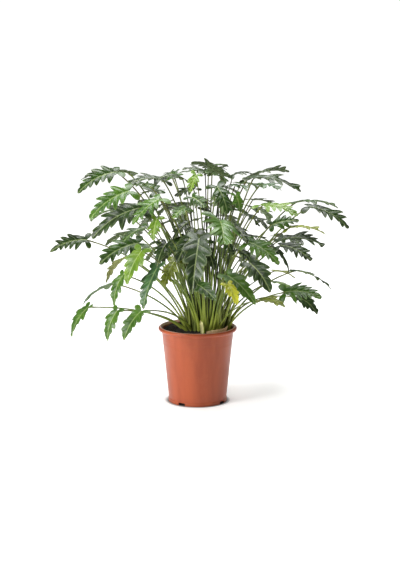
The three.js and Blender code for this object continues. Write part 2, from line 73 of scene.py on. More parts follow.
def square_to(vector: Vector, direction: Vector) -> Vector:
    """Unit vector of the part of a vector that is square to a direction."""
    return (vector - direction * vector.dot(direction)).normalized()


def linked(name: str, mesh: bmesh.types.BMesh,
           materials: Sequence[bpy.types.Material] = ()) -> bpy.types.Object:
    """Turns a bmesh into an object of the scene, and frees the bmesh."""
    data = bpy.data.meshes.new(name)
    mesh.to_mesh(data)
    mesh.free()
    for material in materials:
        data.materials.append(material)
    made = bpy.data.objects.new(name, data)
    bpy.context.scene.collection.objects.link(made)
    return made


def finished(name: str, mesh: bmesh.types.BMesh, materials: Sequence[bpy.types.Material],
             replaced: Sequence[str] = ()) -> bpy.types.Object:
    """Turns a bmesh into a piece that rides on the plant.

    Args:
        name: Name of the piece.
        mesh: The shape, which is freed.
        materials: Materials in the order of the faces' material numbers.
        replaced: Frame nodes that the piece stands for.

    Returns:
        The new object.
    """
    piece = linked(name, mesh, materials)
    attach(piece, ROOT)
    if replaced:
        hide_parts(*replaced)
    LOG.info("%s: %d faces", name, len(piece.data.polygons))
    return piece


def smooth_with_creases(mesh: bmesh.types.BMesh, crease_deg: float) -> None:
    """Shades all faces smooth, and keeps edges sharper than an angle crisp."""
    for face in mesh.faces:
        face.smooth = True
    for edge in mesh.edges:
        edge.smooth = len(edge.link_faces) != 2 or edge.calc_face_angle() < math.radians(crease_deg)


def face_outwards(mesh: bmesh.types.BMesh) -> None:
    """Turns a closed mesh the right way out."""
    bmesh.ops.recalc_face_normals(mesh, faces=mesh.faces[:])
    if mesh.calc_volume(signed=True) < 0:
        bmesh.ops.reverse_faces(mesh, faces=mesh.faces[:])


# ---- materials ----------------------------------------------------------------------


class Num:
    """A number that varies over a surface, with Python's arithmetic."""

    def __init__(self, graph: Graph, socket: bpy.types.NodeSocket) -> None:
        """Wraps one output socket of a graph's node."""
        self.graph = graph
        self.socket = socket

    def _math(self, operation: str, *terms: Term, clamp: bool = False) -> Num:
        """Adds a Math node on this number and further terms."""
        settings = {"operation": operation, "use_clamp": clamp}
        return self.graph.node("ShaderNodeMath", settings, dict(enumerate(terms)))

    def __add__(self, other: Term) -> Num:
        """Sum."""
        return self._math("ADD", self, other)

    __radd__ = __add__

    def __sub__(self, other: Term) -> Num:
        """Difference."""
        return self._math("SUBTRACT", self, other)

    def __rsub__(self, other: Term) -> Num:
        """Difference from a plain number."""
        return self._math("SUBTRACT", other, self)

    def __mul__(self, other: Term) -> Num:
        """Product."""
        return self._math("MULTIPLY", self, other)

    __rmul__ = __mul__

    def __truediv__(self, other: Term) -> Num:
        """Quotient."""
        return self._math("DIVIDE", self, other)

    def __abs__(self) -> Num:
        """Size without its sign."""
        return self._math("ABSOLUTE", self)

    def clamped(self) -> Num:
        """The same number, kept between 0 and 1."""
        return self._math("ADD", self, 0.0, clamp=True)

    def fraction(self) -> Num:
        """What is left above the next lower whole number."""
        return self._math("FRACT", self)

    def ramp(self, low: float, high: float) -> Num:
        """Share from 0 at low to 1 at high, with soft ends."""
        settings = {"interpolation_type": "SMOOTHSTEP"}
        return self.graph.node("ShaderNodeMapRange", settings, {0: self, 1: low, 2: high})


Term = Num | float


class Graph:
    """The node tree of one material or world."""

    def __init__(self, name: str, kind: str = "materials") -> None:
        """Starts an empty tree.

        Args:
            name: Name of the material or world.
            kind: Blender's collection that it belongs to.
        """
        self.owner = getattr(bpy.data, kind).new(name)
        self.owner.use_nodes = True
        self.tree = self.owner.node_tree
        self.tree.nodes.clear()

    def node(self, kind: str, settings: dict[str, object], inputs: dict[int | str, object],
             output: int | str = 0) -> Num:
        """Adds a node.

        Args:
            kind: Blender's name of the node type.
            settings: Attributes to set first, such as a Math node's operation.
            inputs: Values or links by socket number or name.
            output: Which output to return.

        Returns:
            The chosen output.
        """
        made = self.tree.nodes.new(kind)
        for key, value in settings.items():
            setattr(made, key, value)
        for key, value in inputs.items():
            self._feed(made.inputs[key], value)
        return Num(self, made.outputs[output])

    def _feed(self, socket: bpy.types.NodeSocket, value: object) -> None:
        """Links a number to a socket, or sets the socket's value."""
        if isinstance(value, Num):
            self.tree.links.new(value.socket, socket)
        elif isinstance(value, tuple) and socket.type == "RGBA":
            socket.default_value = (*value, 1.0)
        else:
            socket.default_value = value

    def noise(self, scale: float, detail: float = 3.0, roughness: float = 0.55,
              vector: Num | None = None) -> Num:
        """Cloudy noise from 0 to 1, on Object coordinates unless a vector is given."""
        inputs = {"Vector": vector or self.place(), "Scale": scale, "Detail": detail,
                  "Roughness": roughness}
        return self.node("ShaderNodeTexNoise", {}, inputs)

    def cells(self, scale: float, feature: str = "F1") -> Num:
        """Distance within a pattern of cells."""
        inputs = {"Vector": self.place(), "Scale": scale}
        return self.node("ShaderNodeTexVoronoi", {"feature": feature}, inputs)

    def place(self) -> Num:
        """Object coordinates, which are metres in the plant's frame."""
        return self.node("ShaderNodeTexCoord", {}, {}, "Object")

    def stretched(self, scale: Triple, shift: Triple = (0.0, 0.0, 0.0)) -> Num:
        """Object coordinates, scaled along each axis and then shifted."""
        inputs = {"Vector": self.place(), "Location": shift, "Scale": scale}
        return self.node("ShaderNodeMapping", {}, inputs)

    def attribute(self, name: str) -> Num:
        """A number that the mesh holds at its points."""
        return self.node("ShaderNodeAttribute", {"attribute_name": name}, {}, "Fac")

    def part(self, vector: Num, axis: int) -> Num:
        """One coordinate of a vector, with axis 0, 1 or 2 for x, y or z."""
        return self.node("ShaderNodeSeparateXYZ", {}, {0: vector}, axis)

    def length(self, vector: Num) -> Num:
        """Length of a vector."""
        return self.node("ShaderNodeVectorMath", {"operation": "LENGTH"}, {0: vector}, "Value")

    def vector(self, x: Term, y: Term, z: Term) -> Num:
        """A vector from three numbers."""
        return self.node("ShaderNodeCombineXYZ", {}, {0: x, 1: y, 2: z})

    def mix(self, share: Term, first: Num | Color, second: Num | Color) -> Num:
        """Colour between two colours."""
        settings = {"data_type": "RGBA"}
        return self.node("ShaderNodeMix", settings, {0: share, 6: first, 7: second}, 2)

    def bump(self, height: Num, strength: float, distance: float) -> Num:
        """Normal that shows a height in metres times distance."""
        inputs = {"Height": height, "Strength": strength, "Distance": distance}
        return self.node("ShaderNodeBump", {}, inputs)

    def surface(self, varying: dict[str, Num], constant: dict[str, object]) -> bpy.types.Material:
        """Ends the tree in a Principled surface.

        Args:
            varying: Sockets that change over the surface.
            constant: Sockets that are the same all over.

        Returns:
            The finished material.
        """
        shader = self.node("ShaderNodeBsdfPrincipled", {}, {**constant, **varying})
        self.end(shader, "ShaderNodeOutputMaterial")
        return self.owner

    def end(self, shader: Num, kind: str) -> None:
        """Adds the output node."""
        output = self.tree.nodes.new(kind)
        self.tree.links.new(shader.socket, output.inputs["Surface"])


@dataclass(frozen=True)
class PotPlastic:
    """Satin moulded plastic, coloured like baked clay, with flow marks, fine scuffs and a painted highlight
    on the rim's top and inner lip.
    """

    shade: Color = color("a9512f")
    dark: Color = color("974528")
    pale: Color = color("c6714c")
    # painted highlight: near-white pink laid on the rim's top and inner lip
    lip_highlight: Color = color("f2cdbb")
    lip_above: tuple[float, float] = (199 * MM, 203 * MM)
    lip_inside: tuple[float, float] = (104 * MM, 102 * MM)
    lip_highlight_share: float = 0.7
    marks: float = 0.1
    roughness: float = 0.33
    relief: float = 0.3 * MM

    def material(self) -> bpy.types.Material:
        """Builds the material."""
        graph = Graph("pot_plastic")
        flow = graph.noise(9.0, 4.0, 0.5, graph.stretched((3.0, 3.0, 0.5)))
        mottle = graph.noise(38.0, 3.0)
        scuff = graph.noise(420.0, 2.0, 0.6, graph.stretched((1.0, 1.0, 0.16))).ramp(0.62, 0.74)
        level = graph.part(graph.place(), 2)
        reach = graph.length(graph.stretched((1.0, 1.0, 0.0)))
        # painted highlight: mask of the rim's top and inner lip, which are paled towards the highlight colour
        lip = level.ramp(*self.lip_above) * reach.ramp(*self.lip_inside)
        base = graph.mix(flow.ramp(0.35, 0.7), self.shade, self.dark)
        base = graph.mix(mottle.ramp(0.5, 0.8) * self.marks, base, self.pale)
        base = graph.mix(scuff * self.marks, base, self.pale)
        base = graph.mix(lip * self.lip_highlight_share, base, self.lip_highlight)
        grain = graph.noise(900.0, 2.0) * 0.5 + mottle * 0.5
        varying = {
            "Base Color": base,
            "Roughness": self.roughness + flow * 0.06 + scuff * 0.1,
            "Normal": graph.bump(grain, 0.2, self.relief),
        }
        return graph.surface(varying, {"IOR": 1.5, "Specular IOR Level": 0.34})


@dataclass(frozen=True)
class Peat:
    """Moist, near-black peat with brown crumbs and a few pale fibres."""

    dark: Color = color("15100d")
    brown: Color = color("3a2a20")
    pale: Color = color("6e5b49")
    roughness: float = 0.78
    relief: float = 2.5 * MM

    def material(self) -> bpy.types.Material:
        """Builds the material."""
        graph = Graph("peat")
        grain = graph.noise(260.0, 5.0, 0.65)
        clump = graph.noise(60.0, 3.0)
        fleck = graph.cells(330.0).ramp(0.16, 0.04)
        base = graph.mix(grain.ramp(0.42, 0.75), self.dark, self.brown)
        base = graph.mix(fleck * clump.ramp(0.5, 0.7) * 0.6, base, self.pale)
        varying = {
            "Base Color": base,
            "Roughness": self.roughness + grain * 0.2,
            "Normal": graph.bump(grain + clump, 0.9, self.relief),
        }
        return graph.surface(varying, {})


@dataclass(frozen=True)
class DrySheath:
    """Papery, dried leaf sheath with fibres along its length."""

    name: str
    shade: Color
    dark: Color
    roughness: float = 0.6
    relief: float = 0.8 * MM

    def material(self) -> bpy.types.Material:
        """Builds the material."""
        graph = Graph(self.name)
        strip = graph.vector(graph.attribute("along") * 3.0, graph.attribute("across") * 40.0, 0.0)
        fibre = graph.noise(4.0, 4.0, 0.6, strip)
        stain = graph.noise(90.0, 3.0)
        base = graph.mix(fibre.ramp(0.4, 0.7), self.shade, self.dark)
        base = graph.mix(stain.ramp(0.55, 0.8) * 0.5, base, self.dark)
        varying = {
            "Base Color": base,
            "Roughness": self.roughness + fibre * 0.25,
            "Normal": graph.bump(fibre, 0.5, self.relief),
        }
        return graph.surface(varying, {})


class Tone(Enum):
    """The leaf colours of the plant: upper face's deep and light green, and underside."""

    DARK = ("152308", "273e12", "4f6038")
    DEEP = ("1d330b", "325215", "5a6f3e")
    MID = ("2e4f12", "4a6e1c", "68823f")
    BLUISH = ("243e21", "395d2f", "5f7950")
    OLIVE = ("566216", "828c26", "8a9248")
    LIME = ("4b6c16", "6b8826", "829a4e")
    YELLOW = ("b3b828", "d8d83c", "c3c56a")

    @property
    def deep(self) -> Color:
        """Colour of the upper face's deepest green."""
        return color(self.value[0])

    @property
    def light(self) -> Color:
        """Colour of the upper face's lightest green."""
        return color(self.value[1])

    @property
    def under(self) -> Color:
        """Colour of the underside."""
        return color(self.value[2])

    @property
    def vein(self) -> Color:
        """Colour of the veins: paler and yellower than the blade."""
        pale, share = color("b4c286"), 0.4
        return tuple(lerp(own, other, share) for own, other in zip(self.light, pale))


@dataclass(frozen=True)
class LeafFinish:
    """Upper face, underside and stalk of a leaf of one tone."""

    tone: Tone
    stalk_foot: Color = color("b0bc50")
    stalk_middle: Color = color("52682a")
    stalk_top: Color = color("43341f")
    # painted shade: colour of the stalks in the middle of the clump
    stalk_shaded: Color = color("10160a")
    shade_reach: tuple[float, float] = (66 * MM, 40 * MM)
    shade_stretch: Triple = (0.8, 1.25, 0.0)
    shade_shift: Triple = (-18 * MM, -8 * MM, 0.0)
    upper_roughness: float = 0.27
    under_roughness: float = 0.48
    stalk_roughness: float = 0.34
    relief: float = 0.6 * MM
    rib_half: float = 0.4 * MM
    rib_fade: float = 2.2 * MM

    def materials(self) -> list[bpy.types.Material]:
        """Builds the materials in the order of a leaf's face numbers."""
        return [self._upper(), self._underside(), self._stalk()]

    def _veins(self, graph: Graph) -> tuple[Num, Num, Num]:
        """Masks of the midrib, of the side veins and of the fine net between them."""
        lateral = abs(graph.attribute("side"))
        midrib = (abs(graph.attribute("across")) - self.rib_half).ramp(self.rib_fade, 0.0)
        from_lobe = abs(graph.attribute("phase").fraction() - 0.5)
        veins = from_lobe.ramp(0.075, 0.0) * (1.0 - lateral).ramp(0.02, 0.5)
        net = graph.cells(330.0, feature="DISTANCE_TO_EDGE").ramp(0.16, 0.0)
        return midrib, veins, net

    def _upper(self) -> bpy.types.Material:
        """Glossy green with pale veins."""
        graph = Graph(f"leaf_{self.tone.name.lower()}_upper")
        midrib, veins, net = self._veins(graph)
        cloud = graph.noise(26.0, 4.0, 0.6)
        speck = graph.noise(300.0, 2.0)
        edge = abs(graph.attribute("side")).ramp(0.8, 1.0)
        base = graph.mix(cloud.ramp(0.34, 0.68), self.tone.deep, self.tone.light)
        base = graph.mix(speck.ramp(0.45, 0.8) * 0.25, base, self.tone.light)
        base = graph.mix(edge * 0.35, base, self.tone.vein)
        base = graph.mix(veins * 0.42, base, self.tone.vein)
        base = graph.mix(midrib * 0.6, base, self.tone.vein)
        height = cloud * 0.6 - veins - net * 0.25 - midrib * 0.5
        varying = {
            "Base Color": base,
            "Roughness": self.upper_roughness + speck * 0.12 + veins * 0.06,
            "Normal": graph.bump(height, 0.4, self.relief),
        }
        return graph.surface(varying, {"IOR": 1.48, "Specular IOR Level": 0.42})

    def _underside(self) -> bpy.types.Material:
        """Paler and duller green with raised veins."""
        graph = Graph(f"leaf_{self.tone.name.lower()}_underside")
        midrib, veins, net = self._veins(graph)
        cloud = graph.noise(30.0, 3.0)
        base = graph.mix(cloud.ramp(0.35, 0.7) * 0.4, self.tone.under, self.tone.light)
        base = graph.mix(veins * 0.4 + net * 0.1, base, self.tone.vein)
        height = veins + net * 0.4 + cloud * 0.5 + midrib
        varying = {
            "Base Color": base,
            "Roughness": self.under_roughness + cloud * 0.1,
            "Normal": graph.bump(height, 0.5, self.relief),
        }
        return graph.surface(varying, {"IOR": 1.45})

    def _stalk(self) -> bpy.types.Material:
        """Green stalk with long streaks, pale at its foot, dusky near the blade, and darkened by painted
        shade in the middle of the clump.
        """
        graph = Graph(f"leaf_{self.tone.name.lower()}_stalk")
        up, seed = graph.attribute("stalk"), graph.attribute("seed")
        line = graph.vector(graph.attribute("around") * 2.2, up * 2.5, seed * 7.0)
        streak = graph.noise(3.0, 4.0, 0.6, line)
        fleck = graph.noise(420.0, 2.0, 0.5, graph.stretched((1.0, 1.0, 0.3)))
        base = graph.mix(up.ramp(0.0, 0.4), self.stalk_foot, self.stalk_middle)
        base = graph.mix(seed.ramp(0.35, 1.0) * 0.6, base, self.stalk_middle)
        base = graph.mix(up.ramp(0.5, 0.95) * (0.3 + seed * 0.7), base, self.stalk_top)
        base = graph.mix(up.ramp(1.0, 1.1), base, self.tone.vein)
        base = graph.mix(streak.ramp(0.42, 0.7) * 0.5, base, self.stalk_foot)
        base = graph.mix(fleck.ramp(0.6, 0.8) * 0.3, base, self.stalk_top)
        # painted shade: stalks are darkened towards the middle of the clump, where the leaves and stalks
        # around them shade them
        from_middle = graph.length(graph.stretched(self.shade_stretch, self.shade_shift))
        base = graph.mix(from_middle.ramp(*self.shade_reach) * 0.85, base, self.stalk_shaded)
        varying = {
            "Base Color": base,
            "Roughness": self.stalk_roughness + streak * 0.14,
            "Normal": graph.bump(streak * 1.5 + fleck * 0.4, 0.5, self.relief),
        }
        return graph.surface(varying, {"IOR": 1.46, "Specular IOR Level": 0.35})


@dataclass(frozen=True)
class CrownFinish:
    """Young growing tip, waxy and yellow green."""

    foot: Color = color("8c8d4a")
    top: Color = color("9db352")
    roughness: float = 0.36
    relief: float = 0.5 * MM

    def material(self) -> bpy.types.Material:
        """Builds the material."""
        graph = Graph("crown_tip")
        streak = graph.noise(60.0, 3.0, 0.6, graph.stretched((1.0, 1.0, 0.15)))
        base = graph.mix(streak.ramp(0.35, 0.7), self.foot, self.top)
        varying = {
            "Base Color": base,
            "Roughness": self.roughness + streak * 0.12,
            "Normal": graph.bump(streak, 0.4, self.relief),
        }
        return graph.surface(varying, {})


@dataclass(frozen=True)
class PaleFloor:
    """Plain white studio floor with painted shade under the pot, lit up behind the plant and far off."""

    shade: Color = (0.8, 0.8, 0.8)
    # painted shade: floor colour under the pot
    under: Color = (0.1, 0.09, 0.08)
    near_lift: float = 0.45
    far_lift: float = 0.92
    far_from: tuple[float, float] = (0.8, 3.0)
    dark_until: float = 76 * MM
    lit_from: float = 96 * MM
    all_round_from: tuple[float, float] = (2.4, 4.5)
    strip_start: float = -4.8
    strip_slope: tuple[float, float] = (0.26, 0.17)
    strip_fade: float = 2.0

    def material(self) -> bpy.types.Material:
        """Builds the material; the lift keeps the floor as white as the sky behind it."""
        graph = Graph("studio_floor")
        away = graph.length(graph.place())
        across, behind = graph.part(graph.place(), 0), graph.part(graph.place(), 1)
        # painted shade: under the pot the floor turns dark and stops glowing
        lit = away.ramp(self.dark_until, self.lit_from)
        widening = (abs(across) / (behind - self.strip_start)).ramp(*self.strip_slope)
        strip = widening * (behind + self.strip_fade).clamped()
        raised = (strip + away.ramp(*self.all_round_from)).clamped()
        most = away.ramp(*self.far_from) * (self.far_lift - self.near_lift) + self.near_lift
        lift = most * raised * lit
        varying = {
            "Base Color": graph.mix(lit, self.under, self.shade),
            "Emission Color": graph.vector(lift, lift, lift),
        }
        return graph.surface(varying, {"Roughness": 0.85, "Specular IOR Level": 0.1,
                                       "Emission Strength": 1.0})


# ---- pot ----------------------------------------------------------------------------


def arc(centre: tuple[float, float], radius: float, start: float, end: float,
        steps: int) -> list[tuple[float, float]]:
    """Points on an arc in the (radius, height) plane, with its angles in degrees."""
    angles = (math.radians(lerp(start, end, i / steps)) for i in range(steps + 1))
    return [(centre[0] + radius * math.cos(a), centre[1] + radius * math.sin(a)) for a in angles]


def spun(profile: Sequence[tuple[float, float]], steps: int) -> bmesh.types.BMesh:
    """Spins a profile of (radius, height) points about the plant's axis.

    Args:
        profile: Points that start and end on the axis.
        steps: Faces around.

    Returns:
        A closed mesh that faces outwards.
    """
    mesh = bmesh.new()
    points = [mesh.verts.new((radius, 0.0, height)) for radius, height in profile]
    edges = [mesh.edges.new(pair) for pair in zip(points, points[1:])]
    bmesh.ops.spin(mesh, geom=points + edges, cent=(0, 0, 0), axis=UP, angle=math.tau, steps=steps,
                   use_merge=True)
    bmesh.ops.remove_doubles(mesh, verts=mesh.verts[:], dist=0.01 * MM)
    face_outwards(mesh)
    return mesh


@dataclass
class NurseryPot:
    """Thin-walled tapered pot with a rolled rim, three faint rings and a notched foot."""

    wall: float = 2.0 * MM
    bead: float = 5.6 * MM
    rim_depth: float = 12.0 * MM
    foot_height: float = 9.5 * MM
    foot_proud: float = 1.2 * MM
    foot_round: float = 0.8 * MM
    ledge_round: float = 0.5 * MM
    floor_raise: float = 7.0 * MM
    ring_heights: tuple[float, ...] = (178 * MM, 173 * MM, 161 * MM)
    ring_proud: float = 0.14 * MM
    ring_slope: float = 1.2 * MM
    notch_width: float = 21.0 * MM
    notch_height: float = 7.5 * MM
    notch_count: int = 4
    first_notch_deg: float = -33.0
    notch_round: float = 1.5 * MM
    hole_radius: float = 6.0 * MM
    hole_count: int = 8
    hole_place: float = 0.72
    steps: int = 160
    rim_radius: float = field(init=False)
    height: float = field(init=False)
    foot_radius: float = field(init=False)
    top_radius: float = field(init=False)

    def __post_init__(self) -> None:
        """Reads the pot's overall sizes from the frame."""
        low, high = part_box("pot")
        self.rim_radius = high.x
        self.height = high.z
        points = [vertex.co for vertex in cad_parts["pot"].data.vertices]
        near = 0.1 * MM
        rim_bottom = self.height - self.rim_depth
        self.foot_radius = max(p.xy.length for p in points if p.z < low.z + near)
        self.top_radius = max(p.xy.length for p in points if abs(p.z - rim_bottom) < near)

    def outer_radius(self, height: float) -> float:
        """Outside of the wall at a height."""
        share = (height - self.foot_height) / (self.height - self.rim_depth - self.foot_height)
        return lerp(self.foot_radius - self.foot_proud, self.top_radius, share)

    def _foot_profile(self) -> list[tuple[float, float]]:
        """Section from the middle of the underside round the foot to the ledge above it."""
        inner, chamfer = self.foot_radius - 2 * self.wall, 0.4 * MM
        edge = (self.foot_radius - self.foot_round, self.foot_round)
        ledge = (self.foot_radius - self.ledge_round, self.foot_height - self.ledge_round)
        outline = [(0.0, self.floor_raise), (inner, self.floor_raise)]
        outline += [(inner, chamfer), (inner + chamfer, 0.0)]
        outline += arc(edge, self.foot_round, -90, 0, 4) + arc(ledge, self.ledge_round, 0, 80, 3)
        return outline + [(self.outer_radius(self.foot_height) + 0.1 * MM, self.foot_height + 0.3 * MM)]

    def _ring_profile(self, height: float) -> list[tuple[float, float]]:
        """Section of one faint ring round the wall."""
        flat = self.outer_radius(height) + self.ring_proud
        below, above = height - self.ring_slope, height + self.ring_slope - 0.1 * MM
        return [(self.outer_radius(below), below), (flat, height - 0.5 * MM), (flat, height + 0.4 * MM),
                (self.outer_radius(above), above)]

    def _rim_profile(self) -> list[tuple[float, float]]:
        """Section of the rolled rim, from the wall below it round to the inside."""
        bottom, top = self.height - self.rim_depth, self.height
        bead_centre = (self.rim_radius - self.bead, top - self.bead)
        inside = self.outer_radius(bottom) - self.wall
        outline = [(self.outer_radius(bottom - 3 * MM), bottom - 3 * MM)]
        outline += [(self.top_radius + 0.3 * MM, bottom - 0.6 * MM)]
        outline += [(self.top_radius + 1.2 * MM, bottom + 0.2 * MM)]
        outline += arc(bead_centre, self.bead, -100, 100, 18)
        outline += [(self.top_radius + 3.2 * MM, top - 1.2 * MM), (inside + 2.2 * MM, top - 3.4 * MM)]
        return outline + [(inside + 0.7 * MM, top - 7 * MM), (inside, bottom)]

    def _profile(self) -> list[tuple[float, float]]:
        """Section of the pot, from the middle of its underside round to its floor."""
        outline = self._foot_profile()
        for height in sorted(self.ring_heights):
            outline += self._ring_profile(height)
        outline += self._rim_profile()
        floor, corner = self.floor_raise + self.wall, 2 * MM
        outline += [(self.outer_radius(floor + corner) - self.wall, floor + corner)]
        return outline + [(self.outer_radius(floor) - self.wall - corner, floor), (0.0, floor)]

    def _cutter(self) -> bpy.types.Object:
        """One mesh of the foot notches and drain holes, for cutting."""
        mesh = bmesh.new()
        at = Matrix.Translation((self.foot_radius, 0.0, 0.0))
        size = Matrix.Diagonal((8 * self.wall, self.notch_width, 2 * self.notch_height, 1.0))
        for i in range(self.notch_count):
            turn = math.radians(self.first_notch_deg) + i * math.tau / self.notch_count
            outwards = Vector((math.cos(turn), math.sin(turn), 0.0))
            made = bmesh.ops.create_cube(mesh, size=1.0, matrix=Matrix.Rotation(turn, 4, "Z") @ at @ size)
            upper = [e for e in {e for v in made["verts"] for e in v.link_edges}
                     if abs(sum(v.co.z for v in e.verts) - 2 * self.notch_height) < 0.1 * MM
                     and abs((e.verts[0].co - e.verts[1].co).normalized().dot(outwards)) > 0.9]
            bmesh.ops.bevel(mesh, geom=upper, offset=self.notch_round, segments=3, profile=0.5,
                            affect="EDGES", material=-1)
        at = Matrix.Translation((self.hole_place * self.foot_radius, 0.0, self.floor_raise + self.wall / 2))
        for i in range(self.hole_count):
            turn = (i + 0.5) * math.tau / self.hole_count
            bmesh.ops.create_cone(mesh, cap_ends=True, segments=32, radius1=self.hole_radius,
                                  radius2=self.hole_radius, depth=4 * self.wall,
                                  matrix=Matrix.Rotation(turn, 4, "Z") @ at)
        return linked("cutter", mesh)

    def build(self, finish: PotPlastic) -> bpy.types.Object:
        """Spins the wall and cuts the foot's notches and the drain holes."""
        blank = linked("pot_shell", spun(self._profile(), self.steps))
        cutter = self._cutter()
        cut = blank.modifiers.new("cut", "BOOLEAN")
        cut.operation = "DIFFERENCE"
        cut.object = cutter
        cut.solver = "EXACT"
        whole = blank.evaluated_get(bpy.context.evaluated_depsgraph_get())
        mesh = bmesh.new()
        mesh.from_mesh(whole.to_mesh())
        whole.to_mesh_clear()
        for used in (blank, cutter):
            bpy.data.objects.remove(used)
        smooth_with_creases(mesh, 38.0)
        return finished("nursery_pot", mesh, [finish.material()], ["pot"])


# ---- soil ---------------------------------------------------------------------------


@dataclass
class PottingSoil:
    """Peat surface with clumps and loose crumbs, which rises around the stalks and at the back."""

    clear_wall: float = 0.4 * MM
    rise: float = 5.0 * MM
    heap: float = 6.0 * MM
    clumps: float = 2.2 * MM
    grains: float = 1.1 * MM
    sink: float = 1.5 * MM
    rings: int = 46
    steps: int = 132
    crumb_count: int = 620
    crumb_sizes: tuple[float, float] = (0.8 * MM, 2.6 * MM)
    crumb_rise: float = 0.35
    seed: int = 5

    def surface(self, x: float, y: float) -> float:
        """Height of the peat at a place."""
        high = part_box("soil")[1]
        reach = Vector((x, y)).length / high.x
        middle = self.rise * (1 - smoothstep(0.25, 0.95, reach)) + self.heap * smoothstep(-0.02, 0.08, y)
        clump = noise.noise(Vector((x, y, 0.3)) * 55) * self.clumps
        grain = noise.noise(Vector((x, y, 0.7)) * 230) * self.grains
        return high.z - self.sink + middle + (clump + grain) * (1 - smoothstep(0.97, 1.0, reach))

    def build(self, finish: Peat) -> None:
        """Makes the soil body and the crumbs on it."""
        low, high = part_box("soil")
        foot = max(v.co.xy.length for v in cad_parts["soil"].data.vertices if v.co.z < low.z + MM)
        radius = high.x - self.clear_wall
        flat = [(radius * math.sqrt(i / self.rings), high.z) for i in range(self.rings, -1, -1)]
        mesh = spun([(0.0, low.z), (foot - self.clear_wall, low.z), *flat], self.steps)
        for vertex in mesh.verts:
            if vertex.co.z > high.z - 0.1 * MM:
                vertex.co.z = self.surface(vertex.co.x, vertex.co.y)
        smooth_with_creases(mesh, 60.0)
        peat = finish.material()
        finished("peat_soil", mesh, [peat], ["soil"])
        finished("peat_crumbs", self._crumbs(radius), [peat])

    def _crumbs(self, radius: float) -> bmesh.types.BMesh:
        """Loose crumbs strewn over the surface."""
        draw = random.Random(self.seed)
        mesh = bmesh.new()
        for _ in range(self.crumb_count):
            size = lerp(*self.crumb_sizes, draw.random() ** 2.2)
            away = (radius - size - MM) * math.sqrt(draw.random())
            turn = draw.uniform(0, math.tau)
            x, y = away * math.cos(turn), away * math.sin(turn)
            at = Matrix.Translation((x, y, self.surface(x, y) + self.crumb_rise * size))
            angle, axis = draw.uniform(0, math.tau), Vector((draw.random(), 0.5, draw.random()))
            spin = Matrix.Rotation(angle, 4, axis)
            squash = Matrix.Diagonal((1.0, draw.uniform(0.6, 1.0), draw.uniform(0.45, 0.8), 1.0))
            made = bmesh.ops.create_icosphere(mesh, subdivisions=2, radius=size, matrix=at @ spin @ squash)
            for vertex in made["verts"]:
                jolt = noise.noise(vertex.co * 900) * 0.3
                vertex.co = at.translation + (vertex.co - at.translation) * (1 + jolt)
        smooth_with_creases(mesh, 50.0)
        return mesh


# ---- sweeps and paths ---------------------------------------------------------------


@dataclass(frozen=True)
class Bow:
    """Curve from start to end that leans towards a middle point."""

    start: Vector
    middle: Vector
    end: Vector

    def point(self, share: float) -> Vector:
        """Place at a share of the curve."""
        rest = 1 - share
        return self.start * (rest * rest) + self.middle * (2 * share * rest) + self.end * (share * share)

    def along(self, share: float) -> Vector:
        """Direction at a share of the curve."""
        return ((self.middle - self.start) * (1 - share) + (self.end - self.middle) * share).normalized()

    def length(self) -> float:
        """Length of the curve."""
        points = [self.point(i / 24) for i in range(25)]
        return sum((b - a).length for a, b in zip(points, points[1:]))

    @classmethod
    def through(cls, start: Vector, inner: Vector, share: float, end: Vector) -> Bow:
        """Curve that passes a point at a share of its way."""
        rest = 1 - share
        middle = (inner - start * (rest * rest) - end * (share * share)) / (2 * share * rest)
        return cls(start, middle, end)


@dataclass
class Ring:
    """One section of a sweep: its middle, its two half axes and what its points are marked with."""

    centre: Vector
    wide: Vector
    deep: Vector
    marks: dict[str, float] = field(default_factory=dict)

    def matrix(self) -> Matrix:
        """Matrix that takes the unit circle to this section."""
        out = self.wide.cross(self.deep).normalized() * self.wide.length
        return Matrix.Translation(self.centre) @ Matrix((self.wide, self.deep, out)).transposed().to_4x4()


def swept(mesh: bmesh.types.BMesh, rings: Sequence[Ring], sides: int) -> list[bmesh.types.BMFace]:
    """Extrudes a round section from ring to ring, closed at both ends.

    Args:
        mesh: The mesh that the sweep is added to.
        rings: Sections from first to last.
        sides: Points around each section.

    Returns:
        The new faces.
    """
    old = set(mesh.faces)
    kept = mesh.verts.layers.float
    around = kept.get("around") or kept.new("around")
    layers = {key: kept.get(key) or kept.new(key) for key in rings[0].marks}
    made = bmesh.ops.create_circle(mesh, cap_ends=True, segments=sides, radius=1.0, matrix=rings[0].matrix())
    verts = made["verts"]
    cap = next(face for face in verts[0].link_faces if face not in old)
    for i, vertex in enumerate(verts):
        vertex[around] = i / sides
    previous = rings[0]
    for key, layer in layers.items():
        for vertex in verts:
            vertex[layer] = previous.marks[key]
    for ring in rings[1:]:
        made = bmesh.ops.extrude_face_region(mesh, geom=[cap])
        verts = [part for part in made["geom"] if isinstance(part, bmesh.types.BMVert)]
        cap = next(part for part in made["geom"] if isinstance(part, bmesh.types.BMFace))
        bmesh.ops.transform(mesh, verts=verts, matrix=ring.matrix() @ previous.matrix().inverted())
        for key, layer in layers.items():
            for vertex in verts:
                vertex[layer] = ring.marks[key]
        previous = ring
    new = [face for face in mesh.faces if face not in old]
    bmesh.ops.recalc_face_normals(mesh, faces=new)
    return new


